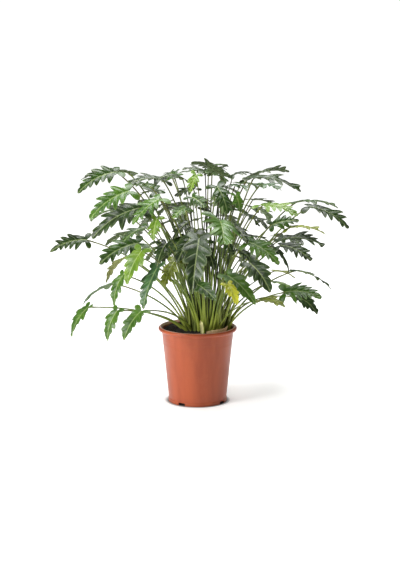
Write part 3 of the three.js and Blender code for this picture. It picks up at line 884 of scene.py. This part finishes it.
def layers_of(node: str, first: Callable[[Vector], float]) -> list[list[Vector]]:
    """Walks along a lofted frame solid, section by section.

    Args:
        node: Name of the frame node.
        first: Measure of a point; the four points with the least measure are the first section.

    Returns:
        The points of each section.
    """
    mesh = bmesh.new()
    mesh.from_mesh(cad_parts[node].data)
    bmesh.ops.remove_doubles(mesh, verts=mesh.verts[:], dist=0.002 * MM)
    layer = sorted(mesh.verts, key=lambda vertex: first(vertex.co))[:4]
    seen = set(layer)
    found = []
    while layer:
        found.append([vertex.co.copy() for vertex in layer])
        layer = list(dict.fromkeys(
            edge.other_vert(vertex) for vertex in layer for edge in vertex.link_edges
            if edge.other_vert(vertex) not in seen))
        seen.update(layer)
    mesh.free()
    return found


def middle_of(points: Sequence[Vector]) -> Vector:
    """Mean of some points."""
    return sum(points, Vector()) / len(points)


# ---- leaves -------------------------------------------------------------------------


@dataclass(frozen=True)
class Skeleton:
    """Stalk, midrib and upper side of one leaf."""

    stalk: Bow
    midrib: Bow
    face_start: Vector
    face_end: Vector
    half_breadth: float

    # Sections of a frame leaf, counted from the stalk's foot, with the blade's half breadth and fold.
    STALK_STEPS = 9
    INNER_RING = 4
    START_RING = 11
    MIDDLE_RING = 17
    MIDDLE_SHARE = 0.504
    LOBE_RINGS = (13, 15, 17)
    LOBE_HALVES = (0.966, 0.85, 0.722)
    END_RING = 20
    FRAME_FOLD_DEG = 20
    CLUMP_REACH = 90 * MM

    # How a leaf is laid out that the frame leaves out.
    DROOP_REACH = 200 * MM
    KNEE_OUT = 0.32
    KNEE_UP = (0.6, 0.1)
    CREST_RISE = 0.2
    FACE_SHARES = (0.07, 0.8)

    @classmethod
    def of_node(cls, node: str) -> Skeleton:
        """Reads a leaf's lines from its frame solid."""
        foot_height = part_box("soil")[1].z
        rings = layers_of(node, lambda p: abs(p.z - foot_height) + max(0.0, p.xy.length - cls.CLUMP_REACH))
        foot, joint, tip = middle_of(rings[0]), middle_of(rings[cls.STALK_STEPS]), rings[-1][0]
        inner = middle_of(rings[cls.INNER_RING])
        stalk = Bow.through(foot, inner, cls.INNER_RING / cls.STALK_STEPS, joint)
        centre = cls._section(rings[cls.MIDDLE_RING])[0]
        midrib = Bow.through(joint, centre, cls.MIDDLE_SHARE, tip)
        breadths = [cls._section(rings[i])[2] / half for i, half in zip(cls.LOBE_RINGS, cls.LOBE_HALVES)]
        start, end = (cls._section(rings[i])[1] for i in (cls.START_RING, cls.END_RING))
        return cls(stalk, midrib, start, end, max(breadths) / math.cos(math.radians(cls.FRAME_FOLD_DEG)))

    @staticmethod
    def _section(ring: Sequence[Vector]) -> tuple[Vector, Vector, float]:
        """Midrib point, upward direction and half width of a blade section."""
        pairs = [((a - b).length, a, b) for i, a in enumerate(ring) for b in ring[i + 1:]]
        width, left, right = max(pairs, key=lambda pair: pair[0])
        spine = [p for p in ring if p is not left and p is not right]
        centre = middle_of(spine)
        return centre, ((left + right) / 2 - centre).normalized(), width / 2

    @classmethod
    def grown(cls, foot: Vector, joint: Vector, tip: Vector, breadth: float) -> Skeleton:
        """Lays out a leaf from its stalk's foot, its joint and its tip.

        Args:
            foot: Where the stalk leaves the soil.
            joint: Where the blade starts.
            tip: Where the blade ends.
            breadth: Full breadth of the blade.

        Returns:
            The leaf's lines, shaped as the frame's leaves are.
        """
        run = joint - foot
        rise = cls.KNEE_UP[0] * run.z + cls.KNEE_UP[1] * run.length
        knee = foot + Vector((cls.KNEE_OUT * run.x, cls.KNEE_OUT * run.y, rise))
        chord = tip - joint
        flat = Vector((joint.x, joint.y, 0.0))
        face = UP + flat.normalized() * min(1.0, flat.length / cls.DROOP_REACH)
        crest = (joint + tip) / 2 + square_to(face, chord.normalized()) * (cls.CREST_RISE * chord.length)
        midrib = Bow(joint, crest, tip)
        start, end = (square_to(face, midrib.along(share)) for share in cls.FACE_SHARES)
        return cls(Bow(foot, knee, joint), midrib, start, end, breadth / 2)

    def blade_axes(self, share: float) -> tuple[Vector, Vector, Vector, Vector]:
        """Point, direction, side and upper direction of the blade at a share of its midrib."""
        kept = min(1.0, max(0.0, share))
        along = self.midrib.along(kept)
        face = square_to(self.face_start.lerp(self.face_end, smoothstep(0.0, 1.0, kept)), along)
        point = self.midrib.point(kept) + along * ((share - kept) * self.midrib.length())
        return point, along, along.cross(face), face


@dataclass(frozen=True)
class Habit:
    """How a blade is cut, folded and waved."""

    lobes: int = 5
    cut: float = 0.6
    ear: float = 0.86
    breadth: float = 1.12
    taper: float = 0.86
    lobed_until: float = 0.8
    fold_deg: float = 24.0
    droop: float = 0.62
    quilt: float = 0.7 * MM
    wave: float = 0.09
    tilt: float = 0.072
    lobe_spread: float = 0.24

    @classmethod
    def grown(cls, size: float) -> Habit:
        """Deeply cut blade of a mature leaf."""
        return cls(lobes=5 if size > 95 * MM else 4)

    @classmethod
    def young(cls, size: float) -> Habit:
        """Shallowly cut blade of a young or low leaf."""
        return cls(lobes=3 if size > 60 * MM else 2, cut=0.36, ear=0.8, breadth=1.1, taper=0.95,
                   lobed_until=0.62, fold_deg=20.0, droop=0.35, wave=0.06, lobe_spread=0.2)


@dataclass
class Leaf:
    """One leaf: a stalk that runs on as the midrib, and a lobed blade."""

    name: str
    skeleton: Skeleton
    habit: Habit
    tone: Tone
    seed: int
    node: str | None = None
    rows: int = 92
    columns: int = 9
    stalk_rings: int = 26
    rib_rings: int = 18
    sides: int = 10
    blade_thickness: float = 0.7 * MM
    foot_radius: float = 5.4 * MM
    stalk_radius: float = 2.7 * MM
    joint_radius: float = 1.7 * MM
    rib_radius: float = 1.2 * MM
    rib_tip_radius: float = 0.3 * MM
    foot_sink: float = 7.0 * MM
    knuckle: float = 0.5 * MM

    # The blade's rows: those of the fan hold the ears round the joint, the rest hold the lobes.
    FAN = 0.15
    EAR_END = 0.86
    EAR_DEG, FAN_DEG, TIP_DEG = 158.0, 66.0, 33.0
    VEIN_BEND_DEG = 9.0
    FIRST_VEIN, VEIN_ZONE = 0.02, 0.96
    LOBE_SHIFT = 0.12

    # The sweep of stalk and midrib, with shares of each one's length.
    JOINT_ZONE = 0.03
    JOINT_RINGS = 5
    RIB_START, RIB_END = 0.05, 0.97
    RIB_MARK = 1.1
    FOOT_RINGS, FOOT_FLAT = 4, 1.25

    def build(self, materials: Sequence[bpy.types.Material]) -> bpy.types.Object:
        """Makes the leaf and returns its object."""
        mesh = bmesh.new()
        for key in ("side", "across", "phase", "stalk", "around", "seed"):
            mesh.verts.layers.float.new(key)
        self._add_stalk(mesh)
        self._add_blade(mesh)
        seed = mesh.verts.layers.float["seed"]
        share = random.Random(self.seed).random()
        for vertex in mesh.verts:
            vertex[seed] = share
        smooth_with_creases(mesh, 55.0)
        return finished(self.name, mesh, materials, [self.node] if self.node else [])

    # -- blade --

    def _outline(self, row: float, side: float, draw: Sequence[float]) -> tuple[float, float, float, float]:
        """Vein of one row of the blade.

        Args:
            row: Share of the way from the blade's ears to its tip.
            side: -1 on the left and 1 on the right.
            draw: Random numbers of this leaf.

        Returns:
            Where the vein leaves the midrib as a share of it, its angle, its length and its phase.
        """
        habit = self.habit
        half = habit.breadth * self.skeleton.half_breadth
        if row < self.FAN:
            turn = row / self.FAN
            angle = math.radians(lerp(self.EAR_DEG, self.FAN_DEG, turn ** 0.9))
            hump = math.sin(math.pi * turn / self.EAR_END) ** 0.8 if turn < self.EAR_END else 0.0
            bay = (1 - habit.cut) * smoothstep(0.5, 1.0, turn)
            length = half * (0.1 * (1 - turn) + max(habit.ear * hump, bay / math.sin(angle)))
            return self.FIRST_VEIN * turn, angle, length, 0.5 * (turn - 1)
        share = (row - self.FAN) / (1 - self.FAN)
        angle = math.radians(lerp(self.FAN_DEG, self.TIP_DEG, share))
        envelope = min(1.0, 1.2 * (1 - share) ** habit.taper)
        shift = self.LOBE_SHIFT * draw[0] * side * smoothstep(0.0, 0.1, share)
        phase = share * habit.lobes / habit.lobed_until + shift
        off = abs(2 * (phase % 1.0) - 1)
        notch = 0.42 * off + 0.58 * off ** 3
        cut = habit.cut * (1 - 0.85 * smoothstep(habit.lobed_until - 0.22, habit.lobed_until + 0.1, share))
        lobe = draw[int(phase) % 8 + (8 if side > 0 else 0)] - 0.5
        each = 1 + habit.lobe_spread * lobe * (1 - off ** 4)
        length = half * envelope * (1 - cut * notch) * each / math.sin(angle)
        return self.FIRST_VEIN + self.VEIN_ZONE * share, angle, length, phase

    def _place(self, along: float, across: float, lift: float) -> Vector:
        """Point in space of a point of the flat blade, raised by a lift."""
        point, _, side, face = self.skeleton.blade_axes(along)
        return point + side * across + face * lift

    def _add_blade(self, mesh: bmesh.types.BMesh) -> None:
        """Shapes a grid into the lobed blade and gives it its thickness."""
        habit = self.habit
        half = habit.breadth * self.skeleton.half_breadth
        length = self.skeleton.midrib.length()
        fold = math.tan(math.radians(habit.fold_deg))
        rng = random.Random(self.seed * 31 + 7)
        draw = [rng.random() for _ in range(16)]
        tilt = rng.uniform(-habit.tilt, habit.tilt)
        layer = mesh.verts.layers.float
        side_layer, across_layer, phase_layer = layer["side"], layer["across"], layer["phase"]
        grid = bmesh.ops.create_grid(mesh, x_segments=2 * self.columns, y_segments=self.rows, size=0.5)
        for vertex in grid["verts"]:
            column = 2 * vertex.co.x
            reach = abs(column)
            row = min(1.0, max(0.0, vertex.co.y + 0.5))
            side = math.copysign(1.0, column) if reach > 1e-6 else 1.0
            past_fan = row > self.FAN
            start, angle, vein, phase = self._outline(row, side, draw)
            bend = angle - math.radians(self.VEIN_BEND_DEG) * reach * past_fan
            across = side * vein * reach * math.sin(bend)
            forward = start * length + vein * reach * math.cos(bend)
            out = abs(across)
            notch = abs(2 * (phase % 1.0) - 1)
            pillow = math.sin(math.pi * min(1.0, reach * 1.1)) * past_fan
            lobe_wave = (draw[(int(phase + 1) + (4 if side > 0 else 9)) % 16] - 0.5) * 2
            lift = out * fold - habit.droop * out * out / half
            lift += habit.quilt * (notch * 2 - 1) * pillow
            lift += lobe_wave * habit.wave * vein * reach ** 2 * 3 * (1 - notch ** 4)
            lift += tilt * across
            vertex.co = self._place(forward / length, across, lift)
            vertex[side_layer] = reach
            vertex[across_layer] = across
            vertex[phase_layer] = phase
        sheet = {face for vertex in grid["verts"] for face in vertex.link_faces}
        bmesh.ops.remove_doubles(mesh, verts=grid["verts"], dist=0.02 * MM)
        self._thicken(mesh, [face for face in sheet if face.is_valid])

    def _thicken(self, mesh: bmesh.types.BMesh, sheet: list[bmesh.types.BMFace]) -> None:
        """Turns the sheet into a thin body and marks its underside."""
        out = self.skeleton.face_start + self.skeleton.face_end
        self._turn(mesh, sheet, sheet, out)
        mesh.normal_update()
        points = {vertex for face in sheet for vertex in face.verts}
        lower = {vertex: vertex.co - vertex.normal * self.blade_thickness for vertex in points}
        made = bmesh.ops.extrude_face_region(mesh, geom=sheet, use_keep_orig=True)
        upper = [part for part in made["geom"] if isinstance(part, bmesh.types.BMFace)]
        for vertex, place in lower.items():
            vertex.co = place
        body = {face for vertex in points for face in vertex.link_faces}.union(upper)
        self._turn(mesh, list(body), upper, out)
        for face in body:
            face.material_index = 1
        for face in upper:
            face.material_index = 0

    @staticmethod
    def _turn(mesh: bmesh.types.BMesh, faces: list[bmesh.types.BMFace], shown: list[bmesh.types.BMFace],
              out: Vector) -> None:
        """Makes faces agree, with the shown ones among them looking out."""
        bmesh.ops.recalc_face_normals(mesh, faces=faces)
        if sum(face.normal.dot(out) * face.calc_area() for face in shown) < 0:
            bmesh.ops.reverse_faces(mesh, faces=faces)

    # -- stalk and midrib --

    def _stalk_path(self) -> list[tuple[Vector, float, float]]:
        """Lays out the stalk and the midrib.

        Returns:
            Points from below the soil to near the blade's tip, each with its radius and its mark,
            which is 0 to 1 on the stalk and RIB_MARK and more on the midrib.
        """
        stalk, midrib = self.skeleton.stalk, self.skeleton.midrib
        path = [(stalk.point(0.0) - UP * self.foot_sink, self.foot_radius, 0.0)]
        for i in range(self.stalk_rings + 1):
            share = (1 - self.JOINT_ZONE) * i / self.stalk_rings
            radius = lerp(self.stalk_radius, self.joint_radius, share)
            radius += (self.foot_radius - self.stalk_radius) * (1 - smoothstep(0.0, 0.2, share))
            radius += self.knuckle * smoothstep(0.93, 0.985, share)
            path.append((stalk.point(share), radius, share))
        bend = Bow(stalk.point(1 - self.JOINT_ZONE), stalk.end, midrib.point(self.RIB_START))
        for i in range(1, self.JOINT_RINGS):
            share = i / self.JOINT_RINGS
            radius = lerp(self.joint_radius + 0.4 * MM, self.rib_radius, share)
            path.append((bend.point(share), radius, 1.0 + 0.02 * i))
        for i in range(self.rib_rings + 1):
            share = lerp(self.RIB_START, self.RIB_END, i / self.rib_rings)
            radius = lerp(self.rib_radius, self.rib_tip_radius, share ** 0.8)
            point, _, _, face = self.skeleton.blade_axes(share)
            path.append((point - face * (0.6 * radius), radius, self.RIB_MARK + share))
        return path

    def _add_stalk(self, mesh: bmesh.types.BMesh) -> None:
        """Sweeps the stalk from the soil to the joint and on along the midrib."""
        path = self._stalk_path()
        wide = self.skeleton.blade_axes(0.0)[2]
        rings: list[Ring] = []
        for i in range(len(path) - 1, -1, -1):
            point, radius, mark = path[i]
            ahead, behind = path[min(i + 1, len(path) - 1)][0], path[max(i - 1, 0)][0]
            along = UP.copy() if i == 0 else (ahead - behind).normalized()
            if mark > self.RIB_MARK:
                wide = self.skeleton.blade_axes(mark - self.RIB_MARK)[2]
            wide = square_to(wide, along)
            flat = self.FOOT_FLAT if i < self.FOOT_RINGS else 1.0
            rings.append(Ring(point, wide * radius * flat, along.cross(wide) * radius, {"stalk": mark}))
        rings.reverse()
        for face in swept(mesh, rings, self.sides):
            face.material_index = 2


# Leaves 1 to 18 are on the left, 19 to 25 in the middle, 26 to 40 on the right and the rest behind.
FRAME_LEAVES: dict[Tone, tuple[int, ...]] = {
    Tone.DARK: (1, 3, 7, 8, 11, 20, 23, 24, 26, 27, 31, 32, 35, 36, 37, 40, 43, 45, 47, 51),
    Tone.DEEP: (2, 6, 9, 19, 21, 30, 38, 41, 44, 50),
    Tone.MID: (4, 5, 14, 16, 17, 18, 22, 25, 34, 39, 42, 48, 52),
    Tone.BLUISH: (12, 15, 28),
    Tone.OLIVE: (13, 33, 49),
    Tone.LIME: (10, 29, 46),
}
YOUNG_LEAVES = (10, 12, 13, 14, 15, 16, 17, 18, 24, 25, 37, 40, 42, 46, 49, 52)


@dataclass(frozen=True)
class Offshoot:
    """A smaller leaf that the frame leaves out; places are millimetres from the soil's middle."""

    joint: Triple
    tip: Triple
    breadth: float
    tone: Tone
    young: bool = False


OFFSHOOTS: tuple[Offshoot, ...] = (
    # among the front leaves
    Offshoot((-82, -120, 258), (-105, -150, 202), 42, Tone.DARK, True),
    Offshoot((-60, -175, 219), (-86, -205, 160), 52, Tone.OLIVE),
    Offshoot((-103, -230, 339), (-112, -250, 286), 40, Tone.LIME),
    Offshoot((-31, -60, 342), (-83, -100, 340), 42, Tone.DARK),
    Offshoot((-4, -130, 439), (-20, -150, 396), 36, Tone.LIME),
    Offshoot((-14, -180, 388), (19, -220, 367), 46, Tone.DEEP),
    Offshoot((27, -100, 233), (43, -110, 185), 40, Tone.DARK, True),
    Offshoot((-2, -190, 163), (49, -245, 128), 46, Tone.DEEP, True),
    Offshoot((77, -240, 172), (101, -265, 123), 40, Tone.YELLOW, True),
    Offshoot((99, -60, 404), (128, -120, 395), 46, Tone.BLUISH),
    Offshoot((99, -150, 389), (108, -160, 347), 34, Tone.MID, True),
    Offshoot((195, -130, 309), (267, -110, 317), 46, Tone.DEEP),
    Offshoot((199, -60, 240), (243, -85, 170), 42, Tone.DARK, True),
    Offshoot((170, -190, 121), (226, -230, 109), 48, Tone.OLIVE, True),
    Offshoot((213, 100, 146), (272, 100, 124), 42, Tone.OLIVE, True),
    Offshoot((141, 10, 259), (204, -20, 236), 52, Tone.DARK),
    Offshoot((-135, -165, 307), (-190, -205, 276), 48, Tone.DEEP),
    Offshoot((-30, -170, 359), (-62, -225, 339), 46, Tone.MID),
    Offshoot((95, -150, 306), (128, -205, 270), 50, Tone.DARK),
    Offshoot((110, -120, 241), (150, -165, 197), 50, Tone.DARK),
    # at the top
    Offshoot((-64, 60, 415), (-82, 130, 412), 52, Tone.DEEP),
    Offshoot((-130, 30, 397), (-196, 50, 378), 50, Tone.DEEP),
    Offshoot((-40, -50, 422), (-98, -85, 427), 48, Tone.DARK),
    Offshoot((20, -10, 436), (-42, -30, 441), 46, Tone.DARK),
    Offshoot((30, 80, 437), (84, 110, 435), 46, Tone.DEEP),
    Offshoot((96, 20, 423), (150, 30, 423), 48, Tone.DARK),
    Offshoot((118, 120, 387), (168, 178, 365), 52, Tone.DEEP),
    Offshoot((-110, 60, 374), (-170, 95, 348), 52, Tone.DARK),
    # inside the crown of leaves
    Offshoot((-60, 20, 299), (-118, 60, 260), 56, Tone.DARK),
    Offshoot((-20, 50, 343), (-66, 112, 307), 56, Tone.DARK),
    Offshoot((30, 60, 298), (64, 132, 247), 58, Tone.DARK),
    Offshoot((80, 50, 336), (136, 100, 298), 56, Tone.DEEP),
    Offshoot((112, 0, 270), (170, 10, 226), 54, Tone.DARK),
    Offshoot((-108, 30, 239), (-166, 42, 190), 52, Tone.DEEP),
    Offshoot((-70, -40, 224), (-116, -74, 169), 52, Tone.DARK),
    Offshoot((18, -50, 252), (-6, -104, 200), 54, Tone.DARK),
    Offshoot((60, -60, 270), (92, -112, 225), 54, Tone.DEEP),
    Offshoot((-92, 110, 217), (-142, 176, 161), 52, Tone.DEEP),
    Offshoot((90, 130, 221), (132, 196, 158), 52, Tone.DEEP),
    Offshoot((-4, 150, 256), (-12, 226, 195), 56, Tone.DARK),
    Offshoot((-152, 20, 329), (-216, 44, 294), 56, Tone.DARK),
    Offshoot((60, -70, 375), (92, -116, 341), 50, Tone.DARK),
    Offshoot((150, 60, 350), (214, 84, 327), 52, Tone.DARK),
    Offshoot((-36, -60, 264), (-78, -96, 218), 50, Tone.DEEP, True),
    Offshoot((-22, -20, 302), (-62, -70, 262), 54, Tone.DARK),
    Offshoot((24, 0, 326), (60, -40, 282), 56, Tone.DARK),
    Offshoot((-58, 70, 338), (-108, 110, 300), 58, Tone.DARK),
    Offshoot((70, 110, 300), (110, 170, 252), 58, Tone.DARK),
    Offshoot((-8, 40, 232), (-40, 84, 178), 56, Tone.DARK),
    Offshoot((48, 40, 224), (84, 92, 170), 56, Tone.DARK),
    Offshoot((6, 90, 344), (22, 150, 304), 58, Tone.DARK),
    Offshoot((-50, 90, 226), (-94, 134, 168), 54, Tone.DARK),
    Offshoot((100, 60, 196), (144, 96, 146), 52, Tone.DARK),
    Offshoot((-84, -10, 350), (-132, -30, 316), 54, Tone.DARK),
    Offshoot((118, -40, 330), (162, -70, 296), 54, Tone.DARK),
    Offshoot((-10, -40, 392), (-58, -60, 374), 50, Tone.DARK),
    Offshoot((54, -20, 396), (104, -44, 380), 50, Tone.DARK),
    Offshoot((0, 30, 160), (-26, 66, 112), 44, Tone.DARK, True),
    Offshoot((60, 60, 150), (92, 104, 104), 44, Tone.DARK, True),
    Offshoot((-60, 60, 156), (-98, 98, 110), 44, Tone.DARK, True),
)


@dataclass
class Foliage:
    """All the leaves."""

    free_room: float = 7.5 * MM
    search_step: float = 1.2 * MM
    search_tries: int = 2000
    clump_reach: float = 58 * MM
    slim: tuple[float, float, float] = (3.6 * MM, 2.1 * MM, 1.4 * MM)
    finishes: dict[Tone, list[bpy.types.Material]] = field(default_factory=dict)
    feet: list[Vector] = field(default_factory=list)

    def build(self) -> None:
        """Builds every leaf of the frame, then the smaller ones between them."""
        self.finishes = {tone: LeafFinish(tone).materials() for tone in Tone}
        tones = {number: tone for tone, numbers in FRAME_LEAVES.items() for number in numbers}
        for number in sorted(tones):
            node = f"leaf_{number:02d}"
            skeleton = Skeleton.of_node(node)
            self.feet.append(skeleton.stalk.start)
            leaf = self._leaf(f"philodendron_{node}", skeleton, tones[number], number in YOUNG_LEAVES, number)
            leaf.node = node
            leaf.build(self.finishes[leaf.tone])
        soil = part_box("soil")[1].z
        centre = middle_of(self.feet)
        for number, shoot in enumerate(OFFSHOOTS, 1):
            joint, tip = (Vector(place) * MM + UP * soil for place in (shoot.joint, shoot.tip))
            foot = self._free_foot(centre, joint)
            skeleton = Skeleton.grown(foot, joint, tip, shoot.breadth * MM)
            leaf = self._leaf(f"offshoot_{number:02d}", skeleton, shoot.tone, shoot.young, 100 + number)
            leaf.foot_radius, leaf.stalk_radius, leaf.joint_radius = self.slim
            leaf.build(self.finishes[leaf.tone])

    @staticmethod
    def _leaf(name: str, skeleton: Skeleton, tone: Tone, young: bool, seed: int) -> Leaf:
        """Lays out one leaf on its skeleton."""
        size = skeleton.midrib.length()
        habit = Habit.young(size) if young else Habit.grown(size)
        return Leaf(name, skeleton, habit, tone, seed)

    def _free_foot(self, centre: Vector, joint: Vector) -> Vector:
        """Finds free soil for a stalk, near to where its leaf leans.

        Args:
            centre: Middle of the clump of stalks.
            joint: Where the leaf's blade starts.

        Returns:
            The stalk's foot.
        """
        lean = Vector((joint.x, joint.y, 0.0)) - Vector((centre.x, centre.y, 0.0))
        share = lean.length / (lean.length + joint.z - centre.z)
        wish = centre + lean.normalized() * (share * self.clump_reach)
        golden = math.pi * (3 - math.sqrt(5))
        for step in range(self.search_tries):
            away = self.search_step * math.sqrt(step)
            turn = golden * step
            foot = wish + Vector((away * math.cos(turn), away * math.sin(turn), 0.0))
            if all((foot - other).length > self.free_room for other in self.feet):
                break
        self.feet.append(foot)
        return foot


# ---- crowns and sheaths -------------------------------------------------------------


@dataclass
class CrownTips:
    """Rolled young leaves that stand in the middle of each plantlet."""

    nodes: tuple[str, ...] = ("crown_1", "crown_2", "crown_3", "crown_4")
    lean: float = 3.0 * MM
    sink: float = 4.0 * MM
    tip_radius: float = 0.25 * MM
    flatness: float = 0.78
    twist: float = 2.2
    steps: int = 14
    sides: int = 14

    def build(self, finish: CrownFinish) -> None:
        """Builds one pointed tip for each crown."""
        material = finish.material()
        for index, node in enumerate(self.nodes):
            low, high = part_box(node)
            centre = (low + high) / 2
            radius = (high.x - low.x) / 2
            rings = []
            for i in range(self.steps + 1):
                share = i / self.steps
                girth = radius * (1 - share ** 1.8) * (0.86 + 0.14 * math.cos(3 * share)) + self.tip_radius
                turn = Matrix.Rotation(self.twist * share + index, 3, "Z")
                height = lerp(low.z - self.sink, high.z, share)
                at = Vector((centre.x + self.lean * share ** 2, centre.y, height))
                wide, deep = Vector((girth, 0, 0)), Vector((0, self.flatness * girth, 0))
                rings.append(Ring(at, turn @ wide, turn @ deep))
            mesh = bmesh.new()
            swept(mesh, rings, self.sides)
            smooth_with_creases(mesh, 60.0)
            finished(f"growing_tip_{index + 1}", mesh, [material], [node])


@dataclass
class DriedSheaths:
    """Papery strips: one lies inside the rim and one stands before the stalks."""

    thickness: float = 0.5 * MM
    columns: int = 8
    rows: int = 48
    curl: float = 1.6 * MM
    rough: float = 0.9 * MM
    ragged: float = 0.12
    lying_lift: float = 3.0 * MM

    def build(self) -> None:
        """Builds both sheaths."""
        tan = DrySheath("dry_sheath_tan", color("e8c79b"), color("b58d62"))
        straw = DrySheath("dry_sheath_straw", color("ece6a8"), color("c2bd70"))
        self._strip("dry_sheath_1", "sheath_1", lambda p: p.x, tan, 9, self.lying_lift)
        self._strip("dry_sheath_2", "sheath_2", lambda p: p.z, straw, 4)

    @staticmethod
    def _half_breadths(sections: Sequence[Sequence[Vector]]) -> list[Vector]:
        """Half of each section's long side, as vectors that all point the same way."""
        halves: list[Vector] = []
        for section in sections:
            pairs = sorted(((a - b).length, i, j) for i, a in enumerate(section)
                           for j, b in enumerate(section) if i < j)
            _, i, j = pairs[2]
            half = (section[i] - section[j]) * 0.5
            halves.append(-half if halves and half.dot(halves[-1]) < 0 else half)
        return halves

    def _strip(self, name: str, node: str, first: Callable[[Vector], float], finish: DrySheath,
               seed: int, lift: float = 0.0) -> None:
        """Shapes one strip along the sections of its frame solid.

        Args:
            name: Name of the piece.
            node: Frame node that it stands for.
            first: Measure of a point that is least at the strip's start.
            finish: Finish of the strip.
            seed: Seed of its roughness.
            lift: How far it lies above its frame solid's middle.
        """
        sections = layers_of(node, first)
        centres = [middle_of(section) + UP * lift for section in sections]
        ups = self._half_breadths(sections)
        mesh = bmesh.new()
        layer = mesh.verts.layers.float
        for key in ("along", "across"):
            layer.new(key)
        grid = bmesh.ops.create_grid(mesh, x_segments=self.columns, y_segments=self.rows, size=0.5)
        last = len(centres) - 1
        for vertex in grid["verts"]:
            across, share = 2 * vertex.co.x, vertex.co.y + 0.5
            at = share * last
            i = min(last - 1, int(at))
            centre = centres[i].lerp(centres[i + 1], at - i)
            up = ups[i].lerp(ups[i + 1], at - i)
            out = (centres[i + 1] - centres[i]).normalized().cross(up.normalized())
            taper = (1 - 0.9 * smoothstep(0.76, 1.0, share)) * (0.72 + 0.28 * smoothstep(0.0, 0.2, share))
            crumple = noise.noise(Vector((share * 9, across * 1.3, seed))) * self.rough
            tear = noise.noise(Vector((share * 24, across * 0.5, seed + 3))) * self.ragged * abs(across)
            bulge = self.curl * across ** 2 + crumple
            vertex.co = centre + up * (across * taper * (1 + tear)) + out * bulge
            vertex[layer["along"]] = share * 10
            vertex[layer["across"]] = across
        bmesh.ops.solidify(mesh, geom=mesh.faces[:], thickness=self.thickness)
        face_outwards(mesh)
        smooth_with_creases(mesh, 55.0)
        finished(name, mesh, [finish.material()], [node])


# ---- studio -------------------------------------------------------------------------


@dataclass(frozen=True)
class Softbox:
    """One large soft lamp."""

    name: str
    place: Triple
    size: tuple[float, float]
    power: float

    def build(self, target: Vector) -> None:
        """Hangs the lamp, facing a target."""
        lamp = bpy.data.lights.new(self.name, "AREA")
        lamp.shape = "RECTANGLE"
        lamp.size, lamp.size_y = self.size
        lamp.energy = self.power
        rig = bpy.data.objects.new(self.name, lamp)
        rig.location = self.place
        rig.rotation_euler = (target - rig.location).to_track_quat("-Z", "Y").to_euler()
        bpy.context.scene.collection.objects.link(rig)


@dataclass
class Studio:
    """White floor, soft light and the camera."""

    lens_mm: float = 94.8
    sensor_mm: float = 36.0
    camera_place: Triple = (0.0064, -4.0, 1.069)
    camera_dip_deg: float = 10.6
    lights_aim: Triple = (0.0, 0.0, 0.33)
    floor_size: float = 120.0
    sky: float = 0.17
    horizon: float = 1.05
    horizon_from: tuple[float, float] = (0.93, 0.975)
    boxes: tuple[Softbox, ...] = (
        Softbox("key_light", (-2.1, -1.55, 1.7), (0.9, 2.2), 104.0),
        Softbox("fill_light", (2.4, -2.2, 1.4), (1.6, 1.6), 0.5),
        Softbox("top_light", (0.1, 0.5, 2.6), (1.6, 1.6), 80.0),
    )

    def build(self) -> None:
        """Builds the studio."""
        self._camera()
        self._floor()
        for box in self.boxes:
            box.build(Vector(self.lights_aim))
        bpy.context.scene.world = self._world()
        bpy.context.scene.view_settings.view_transform = "Standard"

    def _world(self) -> bpy.types.World:
        """Makes a sky that is white behind the plant and dim elsewhere."""
        graph = Graph("studio_sky", "worlds")
        direction = graph.node("ShaderNodeTexCoord", {}, {}, "Generated")
        strength = graph.part(direction, 1).ramp(*self.horizon_from) * (self.horizon - self.sky) + self.sky
        sky = graph.node("ShaderNodeBackground", {}, {"Color": (1.0, 1.0, 1.0), "Strength": strength})
        graph.end(sky, "ShaderNodeOutputWorld")
        return graph.owner

    def _camera(self) -> None:
        """Places the camera in front of the plant."""
        data = bpy.data.cameras.new("camera")
        data.lens = self.lens_mm
        data.sensor_width = self.sensor_mm
        camera = bpy.data.objects.new("camera", data)
        camera.location = self.camera_place
        camera.rotation_euler = (math.radians(90.0 - self.camera_dip_deg), 0.0, 0.0)
        bpy.context.scene.collection.objects.link(camera)
        bpy.context.scene.camera = camera

    def _floor(self) -> None:
        """Lays the floor on the ground."""
        mesh = bmesh.new()
        bmesh.ops.create_grid(mesh, x_segments=1, y_segments=1, size=self.floor_size / 2)
        linked("floor", mesh, [PaleFloor().material()])


# ---- assembly -----------------------------------------------------------------------

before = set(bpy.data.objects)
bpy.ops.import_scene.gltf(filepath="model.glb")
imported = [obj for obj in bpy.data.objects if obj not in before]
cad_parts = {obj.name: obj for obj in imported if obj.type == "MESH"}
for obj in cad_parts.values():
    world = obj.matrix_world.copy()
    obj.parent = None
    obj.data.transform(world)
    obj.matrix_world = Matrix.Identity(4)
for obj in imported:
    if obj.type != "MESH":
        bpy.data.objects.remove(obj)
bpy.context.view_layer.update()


def main() -> None:
    """Builds the plant and its studio."""
    logging.basicConfig(level=logging.INFO, format="%(message)s")
    Studio().build()
    NurseryPot().build(PotPlastic())
    PottingSoil().build(Peat())
    CrownTips().build(CrownFinish())
    DriedSheaths().build()
    Foliage().build()


if __name__ == "__main__":
    main()
